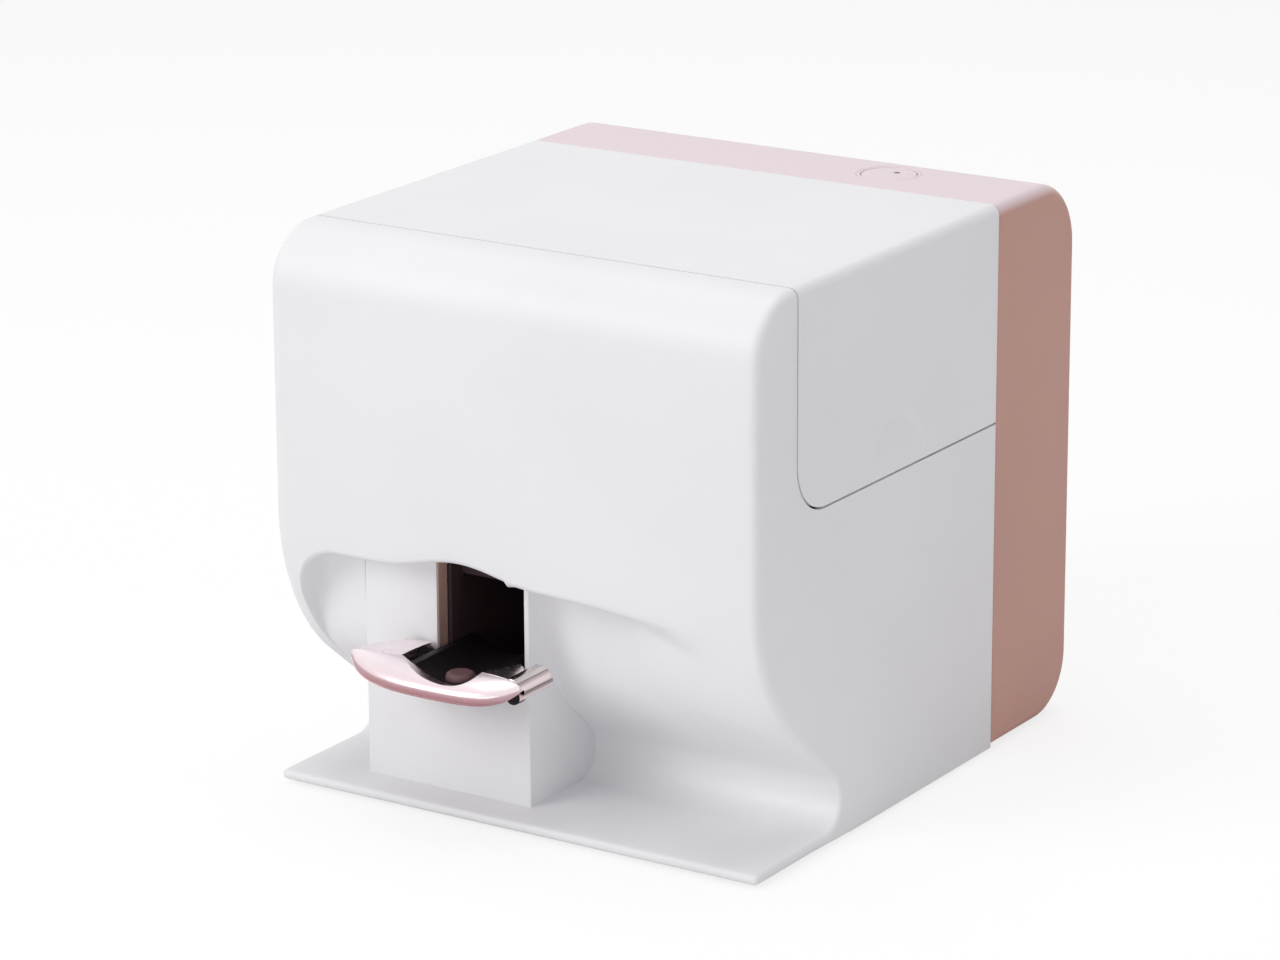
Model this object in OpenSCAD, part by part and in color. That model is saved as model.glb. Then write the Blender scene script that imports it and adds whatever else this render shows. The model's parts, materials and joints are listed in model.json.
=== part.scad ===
// Digital nail art printer: a desktop box with an overhanging front, a finger port with a
// sprung finger lever, a lift-off cover, and an inkjet carriage on a two-axis gantry inside.
// Units are millimetres. +X is to the right of a person facing the front, +Y is to the rear,
// +Z is up. The origin is at the centre of the footprint, on the surface it stands on.
// Modules that use front_frame() measure Y from the flat front face of the casing.

/* [Casing] */
// Width of the casing
body_w = 164; // [136:1:198]
// Depth of the casing, without the finger lever
body_d = 182; // [172:1:220]
// Height of the casing, with its feet
body_h = 168; // [164:1:202]
// Wall thickness of the casing shells
wall = 2.6; // [2:0.1:3.2]
// Gap along the seams between casing shells
seam_gap = 0.3; // [0.2:0.05:0.5]
// Depth of the tinted rear cover
rear_band_d = 48; // [42:1:56]
// Radius of the front top edge
top_front_r = 18; // [12:1:20]
// Radius of the rear top edge
rear_top_r = 21; // [14:1:24]
// Radius of the rear bottom edge
rear_bottom_r = 18; // [12:1:20]

/* [Front curve] */
// Height where the flat front starts to curve in
curve_top_z = 84; // [80:1:90]
// Radius of the inward curve of the front
curve_r = 62; // [56:1:68]
// Depth of the centre of the fillet where the front meets the base plate
fillet_y = 39.9; // [36:0.1:44]
// Radius of that fillet
fillet_r = 7; // [5:0.5:9]
// Thickness of the base plate in front
plate_t = 3; // [2.6:0.1:4]

/* [Hand recess] */
// Depth of the recess under the brow
recess_depth = 22; // [18:0.5:24]
// Radius of the recess where it runs down to the base plate
recess_r = 40; // [36:1:44]
// Height of the lower edge of the flat front
brow_z = 74.5; // [72:0.5:78]
// Extra height of the brow over the finger port
brow_rise = 4.2; // [2:0.2:5]
// Width of the raised part of the brow
brow_w = 54; // [44:1:60]
// Width of the rim left of the recess
recess_rim = 5; // [4:0.5:8]
// Radius of the top left corner of the recess
recess_corner_r = 16; // [8:1:18]

/* [Finger port] */
// Centre of the finger port, left of the centre line
port_x = -18.5; // [-22:0.5:-14]
// Width of the finger port
port_w = 30.4; // [28:0.2:34]
// Height of the lower edge of the finger port
port_z = 36; // [34:0.5:38]
// Height of the finger port
port_h = 40.5; // [38:0.5:41]
// Corner radius of the finger port
port_r = 3; // [2:0.5:5]
// Distance of the port block behind the flat front
block_y = 12.3; // [10:0.1:14]
// Width of the port block left of the port
block_left_w = 26.3; // [20:0.1:30]
// Thickness of the block's front wall
block_front_t = 5; // [4:0.5:6]
// Thickness of the block's side walls
block_side_t = 1.5; // [1.2:0.1:2]

/* [Finger lever] */
// Half width of the lever's crescent
lever_half_w = 33.5; // [28:0.5:36]
// How far the lever stands out from the flat front
lever_reach = 16; // [14:0.5:18]
// How far the tips of the crescent stand out
tip_reach = 3; // [2:0.5:5]
// Height of the crescent's ridge
lever_ridge_z = 50.6; // [49:0.2:53]
// Height of the crescent's underside in the middle
lever_low_z = 42.7; // [41.5:0.1:44]
// Width of the finger notch in the ridge
notch_w = 27; // [24:0.5:28]
// Height of the bottom of the finger notch
notch_z = 45.8; // [45:0.1:47]
// Travel of the lever when it is pressed down
lever_travel = 5.5; // [4:0.5:5.5]

/* [Lift-off cover] */
// Distance of the cover's front seam behind the flat front
cover_y = 21; // [20:0.5:26]
// Height of the seam under the cover's side skirts
cover_z = 102.3; // [100:0.1:106]
// Radius of the lower front corner of the skirts
cover_corner_r = 15; // [8:1:18]
// Radius of the finger dimple in each skirt
dimple_r = 14; // [10:0.5:16]
// Depth of the finger dimple
dimple_depth = 1.6; // [1:0.1:1.8]

/* [Power button] */
// Radius of the power button
button_r = 8.4; // [6:0.1:10]
// Centre of the power button, right of the centre line
button_x = 34.9; // [20:0.1:40]
// Distance of the power button in front of the rear face
button_from_rear = 30.2; // [26:0.1:32]
// Travel of the power button
button_travel = 1.5; // [0.8:0.1:1.5]

/* [Gantry] */
// Radius of the guide rods
rod_r = 3; // [2.5:0.1:3.5]
// Radial running clearance of bushings, pins and shafts
run_gap = 0.05; // [0.03:0.01:0.08]
// Height of the front to back guide rods
y_rod_z = 100; // [98:0.5:104]
// Height difference between the two cross rods
x_rod_pitch = 30; // [28:0.5:34]
// Width of the print carriage
carriage_w = 36; // [34:0.5:40]
// Height of the nozzle plate above the table
nozzle_z = 68.5; // [68:0.1:70]
// Radius of the belt pulleys
pulley_r = 6; // [5:0.1:6.5]
// Radius of the lead screw
screw_r = 3; // [2.5:0.1:3.5]
// Width of the ink cartridge
cartridge_w = 32.6; // [30:0.2:33]
// Depth of the ink cartridge
cartridge_d = 36; // [34:0.2:37]

/* [Hidden] */

foot_h = 1.2;
plate_z = foot_h + plate_t;
front_y = -(body_d - lever_reach) / 2;
seam_y = body_d - rear_band_d;
side_in = body_w / 2 - wall;
rear_in = body_d - wall;
top_in = body_h - wall;

// the front curve in side view: centres of the upper arc and of the fillet, and the angle of
// the straight line that touches both
curve_y = curve_r;
fillet_z = plate_z + fillet_r;
centre_gap = norm([curve_y - fillet_y, curve_top_z - fillet_z]);
centre_dir = atan2(curve_top_z - fillet_z, curve_y - fillet_y);
line_normal = centre_dir - acos((curve_r + fillet_r) / centre_gap);
line_top_z = curve_top_z - curve_r * sin(line_normal);
line_low_z = fillet_z + fillet_r * sin(line_normal);

port_left = port_x - port_w / 2;
port_right = port_x + port_w / 2;
block_left = port_left - block_left_w;
block_right = port_right + block_side_t;
block_back = 50;
block_top = 80;
recess_left = -body_w / 2 + recess_rim;
recess_right = body_w / 2 - recess_rim;

// clear gap between the tunnel and the block, and between the cradle and the tunnel
fit_gap = 0.2;
tunnel_half = port_w / 2 - fit_gap;
tunnel_t = 1.4;
tunnel_in = tunnel_half - tunnel_t;
tunnel_y = block_y + block_front_t;
hood_back = tunnel_y + 7;
tunnel_end = 74;
tunnel_top = nozzle_z - 2.5;
cradle_half = tunnel_in - 0.6;
cradle_low = port_z + lever_travel + 0.3;
cradle_rim = 48;
cradle_front = -8;
cradle_back = 27;
finger_r = 16;
cradle_floor_z = 43.6;
carrier_half = port_w / 2 - 2.2;
post_dx = carrier_half - 4;
post_y = 24;
post_r = 2;
carrier_z = 22;
carrier_t = 5;

dimple_sphere_r = (pow(dimple_r, 2) + pow(dimple_depth, 2)) / (2 * dimple_depth);

// frame inside the casing
sheet_t = 1.5;
chassis_z = 6;
chassis_top = chassis_z + sheet_t;
chassis_y = 53;
plate_x = side_in - 2.9;
y_rod_x = plate_x - sheet_t - 7;
rear_flange_y = rear_in - 9.6;
motor_len = 26;
motor_y = rear_flange_y - 1.8 - motor_len;
rear_tab_y = motor_y - 2;
front_tab_y = 56;
bridge_z = body_h - 16;
bridge_y = [34, 48];

// gantry and carriage at rest, which is the parking place over the capping station
gantry_y = rear_tab_y - 32;
gantry_hx = y_rod_x - 6.5;
bracket_t = 2;
x_rod_y = gantry_y - 10;
x_rod_z = [y_rod_z + 1 - x_rod_pitch / 2, y_rod_z + 1 + x_rod_pitch / 2];
bushing_r = rod_r + 2;
park_x = gantry_hx - bracket_t - 1.5 - carriage_w / 2;
nozzle_y = x_rod_y - 32;
carriage_floor_z = nozzle_z + 1.5;
web_y = x_rod_y - 7.5;
web_top = bridge_z - 20;
cartridge_top = web_top + 2;
cartridge_y = web_y - fit_gap - cartridge_d;
latch_pin_r = 1.2;
latch_y = web_y + 3;
latch_z = cartridge_top + 2.6;
belt_z = y_rod_z + 1;
belt_y = x_rod_y + 3;
belt_w = 4;
belt_t = 1;
belt_gap = 0.1;
drive_x = -(gantry_hx - 12.5);
idler_x = gantry_hx - 9.5;
motor_w = 23;
shaft_r = 2.5;
axle_r = 1.5;
screw_x = -(gantry_hx - 9.5);
screw_z = 64;
screw_start = 60;
nut_y = gantry_y - 6;
board_y = rear_flange_y - 5.6;
board_x = [0, 70];
board_hole_z = [37, 99];
inlet_x = 56;
inlet_z = 26;
cap_top = nozzle_z - 0.3;
button_y = body_d - button_from_rear;
button_flange_z = top_in - 2.4;
switch_z = button_flange_z - 7.2;

// ---- helpers ----

module front_frame()
    translate([0, front_y, 0])
        children();

// box between two corners
module block(lo, hi)
    translate(lo)
        cube(hi - lo);

// a shape drawn in side view (Y, Z), extruded along X
module side_extrude(x0, x1)
    translate([x0, 0, 0])
        rotate([90, 0, 90])
            linear_extrude(height = x1 - x0)
                children();

// a shape drawn in front view (X, Z), extruded along Y
module depth_extrude(y0, y1)
    translate([0, y1, 0])
        rotate([90, 0, 0])
            linear_extrude(height = y1 - y0)
                children();

module rod_x(x0, x1, y, z, r)
    translate([x0, y, z])
        rotate([0, 90, 0])
            cylinder(h = x1 - x0, r = r, $fn = 48);

module rod_y(x, y0, y1, z, r)
    translate([x, y0, z])
        rotate([-90, 0, 0])
            cylinder(h = y1 - y0, r = r, $fn = 48);

module rod_z(x, y, z0, z1, r)
    translate([x, y, z0])
        cylinder(h = z1 - z0, r = r, $fn = 48);

function arc(cy, cz, r, a0, a1, n) =
    [for (i = [0:n]) [cy + r * cos(a0 + (a1 - a0) * i / n), cz + r * sin(a0 + (a1 - a0) * i / n)]];

// ---- casing outline and recess surface ----

// whole casing in side view
function body_points() = concat(
    [[0, foot_h], [0, plate_z]],
    arc(fillet_y, fillet_z, fillet_r, -90, line_normal, 8),
    arc(curve_y, curve_top_z, curve_r, 180 + line_normal, 180, 14),
    arc(top_front_r, body_h - top_front_r, top_front_r, 180, 90, 12),
    arc(body_d - rear_top_r, body_h - rear_top_r, rear_top_r, 90, 0, 12),
    arc(body_d - rear_bottom_r, foot_h + rear_bottom_r, rear_bottom_r, 0, -90, 12));

module body_outline()
    polygon(body_points());

// side view of the space that the lift-off cover takes
module cover_region()
    polygon(concat(
        arc(cover_y + cover_corner_r, cover_z + cover_corner_r, cover_corner_r, 180, 270, 10),
        [[seam_y + seam_gap, cover_z], [seam_y + seam_gap, body_h + 10], [cover_y, body_h + 10]]));

function ramp(a, b, v) = let (t = max(0, min(1, (v - a) / (b - a)))) t * t * (3 - 2 * t);

// depth of the casing's front curve at height z
function curve_at(z) =
    z >= curve_top_z ? 0 :
    z >= line_top_z ? curve_y - sqrt(pow(curve_r, 2) - pow(curve_top_z - z, 2)) :
    z >= line_low_z ? curve_y - curve_r * cos(line_normal) + (line_top_z - z) * tan(line_normal) :
    z > plate_z ? fillet_y + sqrt(max(0, pow(fillet_r, 2) - pow(z - fillet_z, 2))) :
    fillet_y;

// depth of the recess at height z where it is deepest
recess_top_z = 58;
recess_line_z = recess_top_z - recess_r * sin(line_normal);
function deep_at(z) =
    z >= recess_top_z ? recess_depth :
    z >= recess_line_z ? recess_depth + recess_r
                         - sqrt(pow(recess_r, 2) - pow(recess_top_z - z, 2)) :
    recess_depth + recess_r * (1 - cos(line_normal)) + (recess_line_z - z) * tan(line_normal);

// how much of the full depth the recess has at x: it fades out to the right and starts
// with a rounded wall on the left
recess_wall_r = 6;
function recess_share(x) =
    x < recess_left + recess_wall_r ?
        sqrt(max(0, 1 - pow(1 - (x - recess_left) / recess_wall_r, 2))) :
    x < block_right ? 1 :
    pow(cos(90 * min(1, (x - block_right) / (recess_right - block_right))), 2);

// depth of the recess at x, z; where the recess fades out its surface runs this much in front
// of the casing, so that the two cross cleanly
function recess_at(x, z, dip) =
    curve_at(z) - dip
    + recess_share(x) * ramp(14, 32, z) * (deep_at(z) - curve_at(z) + dip);

// height of the recess's upper edge at x
function brow_at(x) =
    let (corner = x - recess_left - recess_corner_r,
         bump = abs(x - port_x) / (brow_w / 2),
         arch = corner < 0 ? sqrt(max(0, pow(recess_corner_r, 2) - corner * corner)) : 0)
    corner < 0 ? brow_z - recess_corner_r + arch :
    brow_z + (bump < 1 ? brow_rise * pow(cos(90 * bump), 2) : 0);

// the air in the recess, grown by g on all sides
module recess_space(g)
{
    nx = 24;
    nz = 13;
    dip = g > 0 ? 2.4 : 0.4;
    low = g > 0 ? plate_z - 1.2 : plate_z + 1.8;
    function column_x(i) = recess_left - g + (recess_right + g - recess_left + g) * pow(i / nx, 1.25);
    function row_z(x, j) = low + (brow_at(max(x, recess_left)) + g - low) * pow(j / nz, 1.3);
    skin = [for (i = [0:nx]) for (j = [0:nz])
        let (x = column_x(i), z = row_z(x, j))
        [x, recess_at(max(x + (x < block_left ? g : 0), recess_left), z, dip) + 1.25 * g, z]];
    front = [for (p = skin) [p[0], -6, p[2]]];
    n = (nx + 1) * (nz + 1);
    function at(i, j) = i * (nz + 1) + j;
    quads = concat(
        [for (i = [0:nx - 1]) for (j = [0:nz - 1])
            [at(i, j), at(i, j + 1), at(i + 1, j + 1), at(i + 1, j)]],
        [for (i = [0:nx - 1]) for (j = [0:nz - 1])
            [n + at(i, j), n + at(i + 1, j), n + at(i + 1, j + 1), n + at(i, j + 1)]],
        [for (i = [0:nx - 1]) [at(i, 0), at(i + 1, 0), n + at(i + 1, 0), n + at(i, 0)]],
        [for (i = [0:nx - 1]) [at(i, nz), n + at(i, nz), n + at(i + 1, nz), at(i + 1, nz)]],
        [for (j = [0:nz - 1]) [at(0, j), n + at(0, j), n + at(0, j + 1), at(0, j + 1)]],
        [for (j = [0:nz - 1]) [at(nx, j), at(nx, j + 1), n + at(nx, j + 1), n + at(nx, j)]]);
    polyhedron(
        points = concat(skin, front),
        faces = [for (q = quads) for (k = [1, 2]) [q[0], q[k + 1], q[k]]],
        convexity = 6);
}

// ---- casing shells ----

module front_housing()
{
    module inner_space()
        difference() {
            side_extrude(-side_in, side_in)
                offset(delta = -wall)
                    body_outline();
            recess_space(wall);
        }
    // ledge that the cover's front edge rests on
    module ledge()
        union() {
            block([-body_w * 0.42, top_front_r - 4, top_in - 3], [body_w * 0.42, cover_y, top_in + 1]);
            block([-body_w * 0.42, top_front_r - 4, top_in - 3],
                  [body_w * 0.42, cover_y + 5, top_in - seam_gap]);
        }
    color("#e9e8ee")
    front_frame()
    union() {
        difference() {
            side_extrude(-body_w / 2, body_w / 2)
                intersection() {
                    body_outline();
                    polygon([[-1, -1], [seam_y, -1], [seam_y, body_h + 1], [-1, body_h + 1]]);
                }
            inner_space();
            recess_space(0);
            side_extrude(-body_w, body_w)
                cover_region();
            block([block_left, block_y, plate_z], [block_right, 60, block_top]);
            block([-side_in, block_back, -1], [side_in, seam_y + 1, plate_z + 2]);
        }
        ledge();
    }
}

// hollow block that carries the finger port and closes the recess behind the lever
module port_block()
{
    module port_outline()
        offset(r = port_r, $fn = 32)
            offset(delta = -port_r)
                translate([port_left, port_z])
                    square([port_w, port_h]);
    color("#ececec")
    front_frame()
    difference() {
        block([block_left, block_y, plate_z], [block_right, block_back, block_top]);
        block([block_left + block_side_t, tunnel_y, plate_z - 1],
              [block_right - block_side_t, block_back + 1, block_top + 1]);
        depth_extrude(block_y - 1, tunnel_y + 1)
            port_outline();
        // the side walls stay below the path of the carriage
        block([block_left - 1, hood_back, tunnel_top + 1],
              [block_right + 1, block_back + 1, block_top + 1]);
    }
}

rear_boss_x = side_in - 13.4;
rear_screw_spots = [for (x = [-rear_boss_x, rear_boss_x]) for (z = [20, y_rod_z + 4]) [x, z]];
ring_r = button_r + 1.4;

module rear_cover()
{
    module bosses()
        for (p = rear_screw_spots)
            rod_y(p[0], rear_flange_y + sheet_t, rear_in + 1, p[1], 4);
    module switch_posts()
        for (dx = [-12, 12])
            for (dy = [-9, 9])
                rod_z(button_x + dx, button_y + dy, switch_z, top_in + 1, 2);
    color("#e0b7b0")
    front_frame()
    difference() {
        union() {
            difference() {
                side_extrude(-body_w / 2, body_w / 2)
                    intersection() {
                        body_outline();
                        translate([seam_y + seam_gap, -1])
                            square([body_d, body_h + 2]);
                    }
                side_extrude(-side_in, side_in)
                    offset(delta = -wall)
                        body_outline();
            }
            bosses();
            switch_posts();
        }
        rod_z(button_x, button_y, top_in - 1, body_h + 1, ring_r);
        rod_y(inlet_x, rear_in - 1, body_d + 1, inlet_z, 5.2);
        for (p = rear_screw_spots) {
            rod_y(p[0], rear_flange_y, body_d, p[1], 1.6);
            rod_y(p[0], rear_in + 0.6, body_d + 1, p[1], 3.2);
        }
    }
}

base_screw_spots = [for (x = [-66, 0, 66]) for (y = [62, 122]) [x * side_in / 79.4, y]];

module base_pan()
{
    color("#dcdce0")
    front_frame()
    difference() {
        union() {
            block([-side_in + seam_gap, block_back + seam_gap, foot_h],
                  [side_in - seam_gap, seam_y, foot_h + wall]);
            for (p = base_screw_spots)
                rod_z(p[0], p[1], foot_h, chassis_z, 4.5);
        }
        for (p = base_screw_spots) {
            rod_z(p[0], p[1], 0, chassis_z + 1, 1.6);
            rod_z(p[0], p[1], 0, foot_h + 1.8, 3.2);
        }
    }
}

module base_screws()
{
    color("#8d8f94")
    front_frame()
    for (p = base_screw_spots) {
        rod_z(p[0], p[1], foot_h + 0.3, foot_h + 1.8, 2.9);
        rod_z(p[0], p[1], foot_h + 1.7, chassis_top, 1.5);
    }
}

module rear_screws()
{
    color("#8d8f94")
    front_frame()
    for (p = rear_screw_spots) {
        rod_y(p[0], rear_in + 0.6, body_d - 0.5, p[1], 2.9);
        rod_y(p[0], rear_flange_y - 2, rear_in + 0.7, p[1], 1.5);
    }
}

module rubber_feet()
{
    color("#3a3a3c")
    front_frame()
    for (x = [-1, 1])
        for (y = [14, body_d - 28])
            rod_z(x * (body_w / 2 - 14), y, 0, foot_h, 6.5);
}

// ---- frame ----

module chassis_plate()
{
    color("#b9bcc2")
    front_frame()
    difference() {
        union() {
            block([-plate_x, chassis_y, chassis_z], [plate_x, rear_flange_y + sheet_t, chassis_top]);
            block([-plate_x, rear_flange_y, chassis_z],
                  [plate_x, rear_flange_y + sheet_t, y_rod_z + 12]);
        }
        for (p = base_screw_spots)
            rod_z(p[0], p[1], 0, 20, 1.5);
        for (p = rear_screw_spots)
            rod_y(p[0], rear_flange_y - 1, rear_in, p[1], 1.5);
        block([inlet_x - 7, rear_flange_y - 1, inlet_z - 7], [inlet_x + 7, rear_in, inlet_z + 7]);
    }
}

// side plate with two bent tabs that hold a guide rod; side is -1 for left, 1 for right
module side_plate(side)
{
    module profile()
        polygon([[chassis_y, chassis_top], [chassis_y, 78], [bridge_y[0], 92],
                 [bridge_y[0], bridge_z], [bridge_y[1], bridge_z], [62, y_rod_z + 12],
                 [rear_flange_y, y_rod_z + 12], [rear_flange_y, chassis_top]]);
    color("#c4c7cc")
    front_frame()
    difference() {
        union() {
            side_extrude(side > 0 ? plate_x - sheet_t : -plate_x, side > 0 ? plate_x : -plate_x + sheet_t)
                profile();
            for (y = [front_tab_y, rear_tab_y])
                block([side > 0 ? y_rod_x - 5 : -plate_x, y, y_rod_z - 8],
                      [side > 0 ? plate_x : -y_rod_x + 5, y + sheet_t, y_rod_z + 8]);
        }
        rod_y(side * y_rod_x, front_tab_y - 1, rear_tab_y + sheet_t + 1, y_rod_z, rod_r);
        // lightening window
        side_extrude(-body_w, body_w)
            translate([72, 26])
                square([54, 50]);
    }
}

module left_side_plate()
    side_plate(-1);

module right_side_plate()
    side_plate(1);

module y_guide_rods()
{
    color("#d5d8dc")
    front_frame()
    for (x = [-y_rod_x, y_rod_x])
        rod_y(x, front_tab_y, rear_tab_y + sheet_t, y_rod_z, rod_r);
}

// sheet bridge over the print area, resting on the side plates
module camera_bridge()
{
    color("#b9bcc2")
    front_frame()
    union() {
        block([-plate_x, bridge_y[0], bridge_z], [plate_x, bridge_y[1], bridge_z + sheet_t]);
        for (y = bridge_y)
            block([-plate_x + 8, y - (y > 40 ? sheet_t : 0), bridge_z],
                  [plate_x - 8, y + (y > 40 ? 0 : sheet_t), bridge_z + 6]);
    }
}

camera_y = (bridge_y[0] + bridge_y[1]) / 2;
module camera_module()
{
    color("#26272b")
    front_frame()
    union() {
        block([port_x - 9, camera_y - 7, bridge_z - 8], [port_x + 9, camera_y + 7, bridge_z]);
        difference() {
            rod_z(port_x, camera_y, bridge_z - 11, bridge_z - 7, 5);
            rod_z(port_x, camera_y, bridge_z - 12, bridge_z - 9, 3.8);
        }
    }
}

module camera_lens()
{
    color("#41526b")
    front_frame()
    intersection() {
        rod_z(port_x, camera_y, bridge_z - 12, bridge_z - 9, 3.8);
        translate([port_x, camera_y, bridge_z - 3.2])
            sphere(r = 7.5, $fn = 48);
    }
}

module light_board()
{
    color("#2f6a4a")
    front_frame()
    difference() {
        block([port_x - 26, camera_y - 13, bridge_z - 3.6], [port_x + 26, camera_y + 13, bridge_z - 2.4]);
        block([port_x - 9.2, camera_y - 7.2, bridge_z - 9], [port_x + 9.2, camera_y + 7.2, bridge_z]);
    }
}

module light_emitters()
{
    color("#f6f1cf")
    front_frame()
    for (dx = [-22, -14, 14, 22])
        for (dy = [-9, 0, 9])
            block([port_x + dx - 1.75, camera_y + dy - 1.75, bridge_z - 5],
                  [port_x + dx + 1.75, camera_y + dy + 1.75, bridge_z - 3.6]);
}

// ---- front to back drive ----

module motor_mount()
{
    color("#b9bcc2")
    front_frame()
    difference() {
        union() {
            block([screw_x - 16, motor_y - sheet_t, chassis_top],
                  [screw_x + 16, motor_y, screw_z + 17]);
            block([screw_x - 16, motor_y - 12, chassis_top], [screw_x + 16, motor_y, chassis_top + sheet_t]);
        }
        rod_y(screw_x, motor_y - 5, motor_y + 1, screw_z, 11.2);
    }
}

module y_motor()
{
    color("#3c3e44")
    front_frame()
    difference() {
        union() {
            block([screw_x - 14, motor_y, screw_z - 14], [screw_x + 14, motor_y + motor_len, screw_z + 14]);
            rod_y(screw_x, motor_y - sheet_t, motor_y + 1, screw_z, 11);
        }
        rod_y(screw_x, motor_y - 3, motor_y + 8, screw_z, shaft_r + run_gap);
    }
}

// screw with a shaft coupling, turned by the rear motor
module lead_screw()
{
    color("#cfd2d6")
    front_frame()
    union() {
        rod_y(screw_x, screw_start, motor_y - 6, screw_z, screw_r);
        rod_y(screw_x, motor_y - 14, motor_y - 3, screw_z, 6);
        rod_y(screw_x, motor_y - 4, motor_y + 6, screw_z, shaft_r);
    }
}

module screw_bearing()
{
    color("#b9bcc2")
    front_frame()
    difference() {
        // its ring stays under the path of the carriage
        union() {
            block([screw_x - 5, screw_start, chassis_top], [screw_x + 5, screw_start + 5, screw_z]);
            rod_y(screw_x, screw_start, screw_start + 5, screw_z, carriage_floor_z - screw_z - 0.5);
        }
        rod_y(screw_x, screw_start - 1, screw_start + 6, screw_z, screw_r + run_gap);
    }
}

module screw_nut()
{
    color("#c9a24a")
    front_frame()
    difference() {
        union() {
            rod_y(screw_x, nut_y, gantry_y, screw_z, 8);
            rod_y(screw_x, gantry_y - 0.1, gantry_y + 4, screw_z, 5);
        }
        rod_y(screw_x, nut_y - 1, gantry_y + 5, screw_z, screw_r + run_gap);
    }
}

// ---- electronics ----

module main_board()
{
    color("#2f6a4a")
    front_frame()
    difference() {
        block([board_x[0], board_y, 14], [board_x[1], board_y + 1.6, 104]);
        for (x = [board_x[0] + 5, board_x[1] - 5])
            for (z = board_hole_z)
                rod_y(x, board_y - 1, board_y + 3, z, 1.6);
    }
}

module board_standoffs()
{
    color("#d5c27a")
    front_frame()
    for (x = [board_x[0] + 5, board_x[1] - 5])
        for (z = board_hole_z)
            union() {
                rod_y(x, board_y + 1.6, rear_flange_y, z, 2.8);
                rod_y(x, board_y - 1.5, board_y + 1.7, z, 1.5);
            }
}

module board_chips()
{
    color("#1d1e22")
    front_frame()
    for (c = [[8, 60, 14, 14, 1.4], [30, 62, 16, 10, 1.2], [12, 34, 8, 18, 2], [52, 40, 12, 9, 6],
              [54, 80, 10, 10, 9], [30, 28, 9, 6, 3]])
        block([c[0], board_y - c[4], c[1]], [c[0] + c[2], board_y, c[1] + c[3]]);
}

module driver_heatsink()
{
    color("#9fa3aa")
    front_frame()
    union() {
        block([28, board_y - 2, 40], [46, board_y, 56]);
        for (i = [0:6])
            block([28 + i * 2.8, board_y - 8, 40], [29.2 + i * 2.8, board_y - 1.5, 56]);
    }
}

module radio_module()
{
    color("#aeb2b8")
    front_frame()
    block([28, board_y - 2.6, 80], [46, board_y, 96]);
}

module dc_inlet()
{
    color("#1d1e22")
    front_frame()
    union() {
        difference() {
            union() {
                block([inlet_x - 5.5, board_y + 1.6, inlet_z - 5.5],
                      [inlet_x + 5.5, rear_in - 0.4, inlet_z + 5.5]);
                rod_y(inlet_x, rear_in - 1, body_d - 0.3, inlet_z, 5);
            }
            rod_y(inlet_x, rear_in - 7, body_d + 1, inlet_z, 3);
        }
        rod_y(inlet_x, rear_in - 8, body_d - 1.5, inlet_z, 1);
    }
}

module switch_board()
{
    color("#2f6a4a")
    front_frame()
    block([button_x - 15, button_y - 12, switch_z - 1.6], [button_x + 15, button_y + 12, switch_z]);
}

module tact_switch()
{
    color("#2b2c30")
    front_frame()
    union() {
        block([button_x - 3, button_y - 3, switch_z], [button_x + 3, button_y + 3, switch_z + 2.4]);
        rod_z(button_x, button_y, switch_z + 2.3, switch_z + 3.4, 1.7);
    }
}

// ---- power button ----

module button_ring()
{
    color("#e8c8c6")
    front_frame()
    difference() {
        rod_z(button_x, button_y, top_in, body_h, ring_r);
        rod_z(button_x, button_y, top_in - 1, body_h + 1, button_r + fit_gap);
    }
}

lamp_dx = 1;
lamp_dy = 3;
module power_button()
{
    color("#efdadb")
    front_frame()
    difference() {
        union() {
            rod_z(button_x, button_y, button_flange_z + 1, body_h - 0.1, button_r);
            rod_z(button_x, button_y, button_flange_z, top_in - fit_gap, button_r + 1.2);
            rod_z(button_x, button_y, switch_z + 3.6 + button_travel, button_flange_z + 0.5, 2.6);
        }
        rod_z(button_x + lamp_dx, button_y + lamp_dy, body_h - 1.5, body_h + 1, 0.9);
    }
}

module status_lamp()
{
    color("#5b6470")
    front_frame()
    rod_z(button_x + lamp_dx, button_y + lamp_dy, body_h - 1.5, body_h - 0.2, 0.9);
}

// ---- finger port and lever ----

// dark open-topped tunnel behind the port, with a hood that hides the works
module finger_tunnel()
{
    module shell()
        union() {
            block([port_x - tunnel_half, tunnel_y, port_z - tunnel_t],
                  [port_x + tunnel_half, tunnel_end, tunnel_top]);
            block([port_x - tunnel_half, tunnel_y, port_z - tunnel_t],
                  [port_x + tunnel_half, hood_back, port_z + port_h + tunnel_t]);
        }
    module hollow()
        union() {
            block([port_x - tunnel_in, tunnel_y - 1, port_z],
                  [port_x + tunnel_in, tunnel_end - tunnel_t, tunnel_top + 1]);
            block([port_x - tunnel_in, tunnel_y - 1, port_z],
                  [port_x + tunnel_in, hood_back - tunnel_t, port_z + port_h]);
        }
    color("#1b181a")
    front_frame()
    difference() {
        union() {
            difference() {
                shell();
                hollow();
            }
            // foot under the far end, down to the chassis
            block([port_x - 10, chassis_y + 4, chassis_top], [port_x + 10, chassis_y + 7, port_z]);
        }
        // slot for the stem of the lever's carrier
        block([port_x - 4.2, post_y - 4.5, port_z - 3], [port_x + 4.2, post_y + 4.5, port_z + 1]);
    }
}

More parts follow.
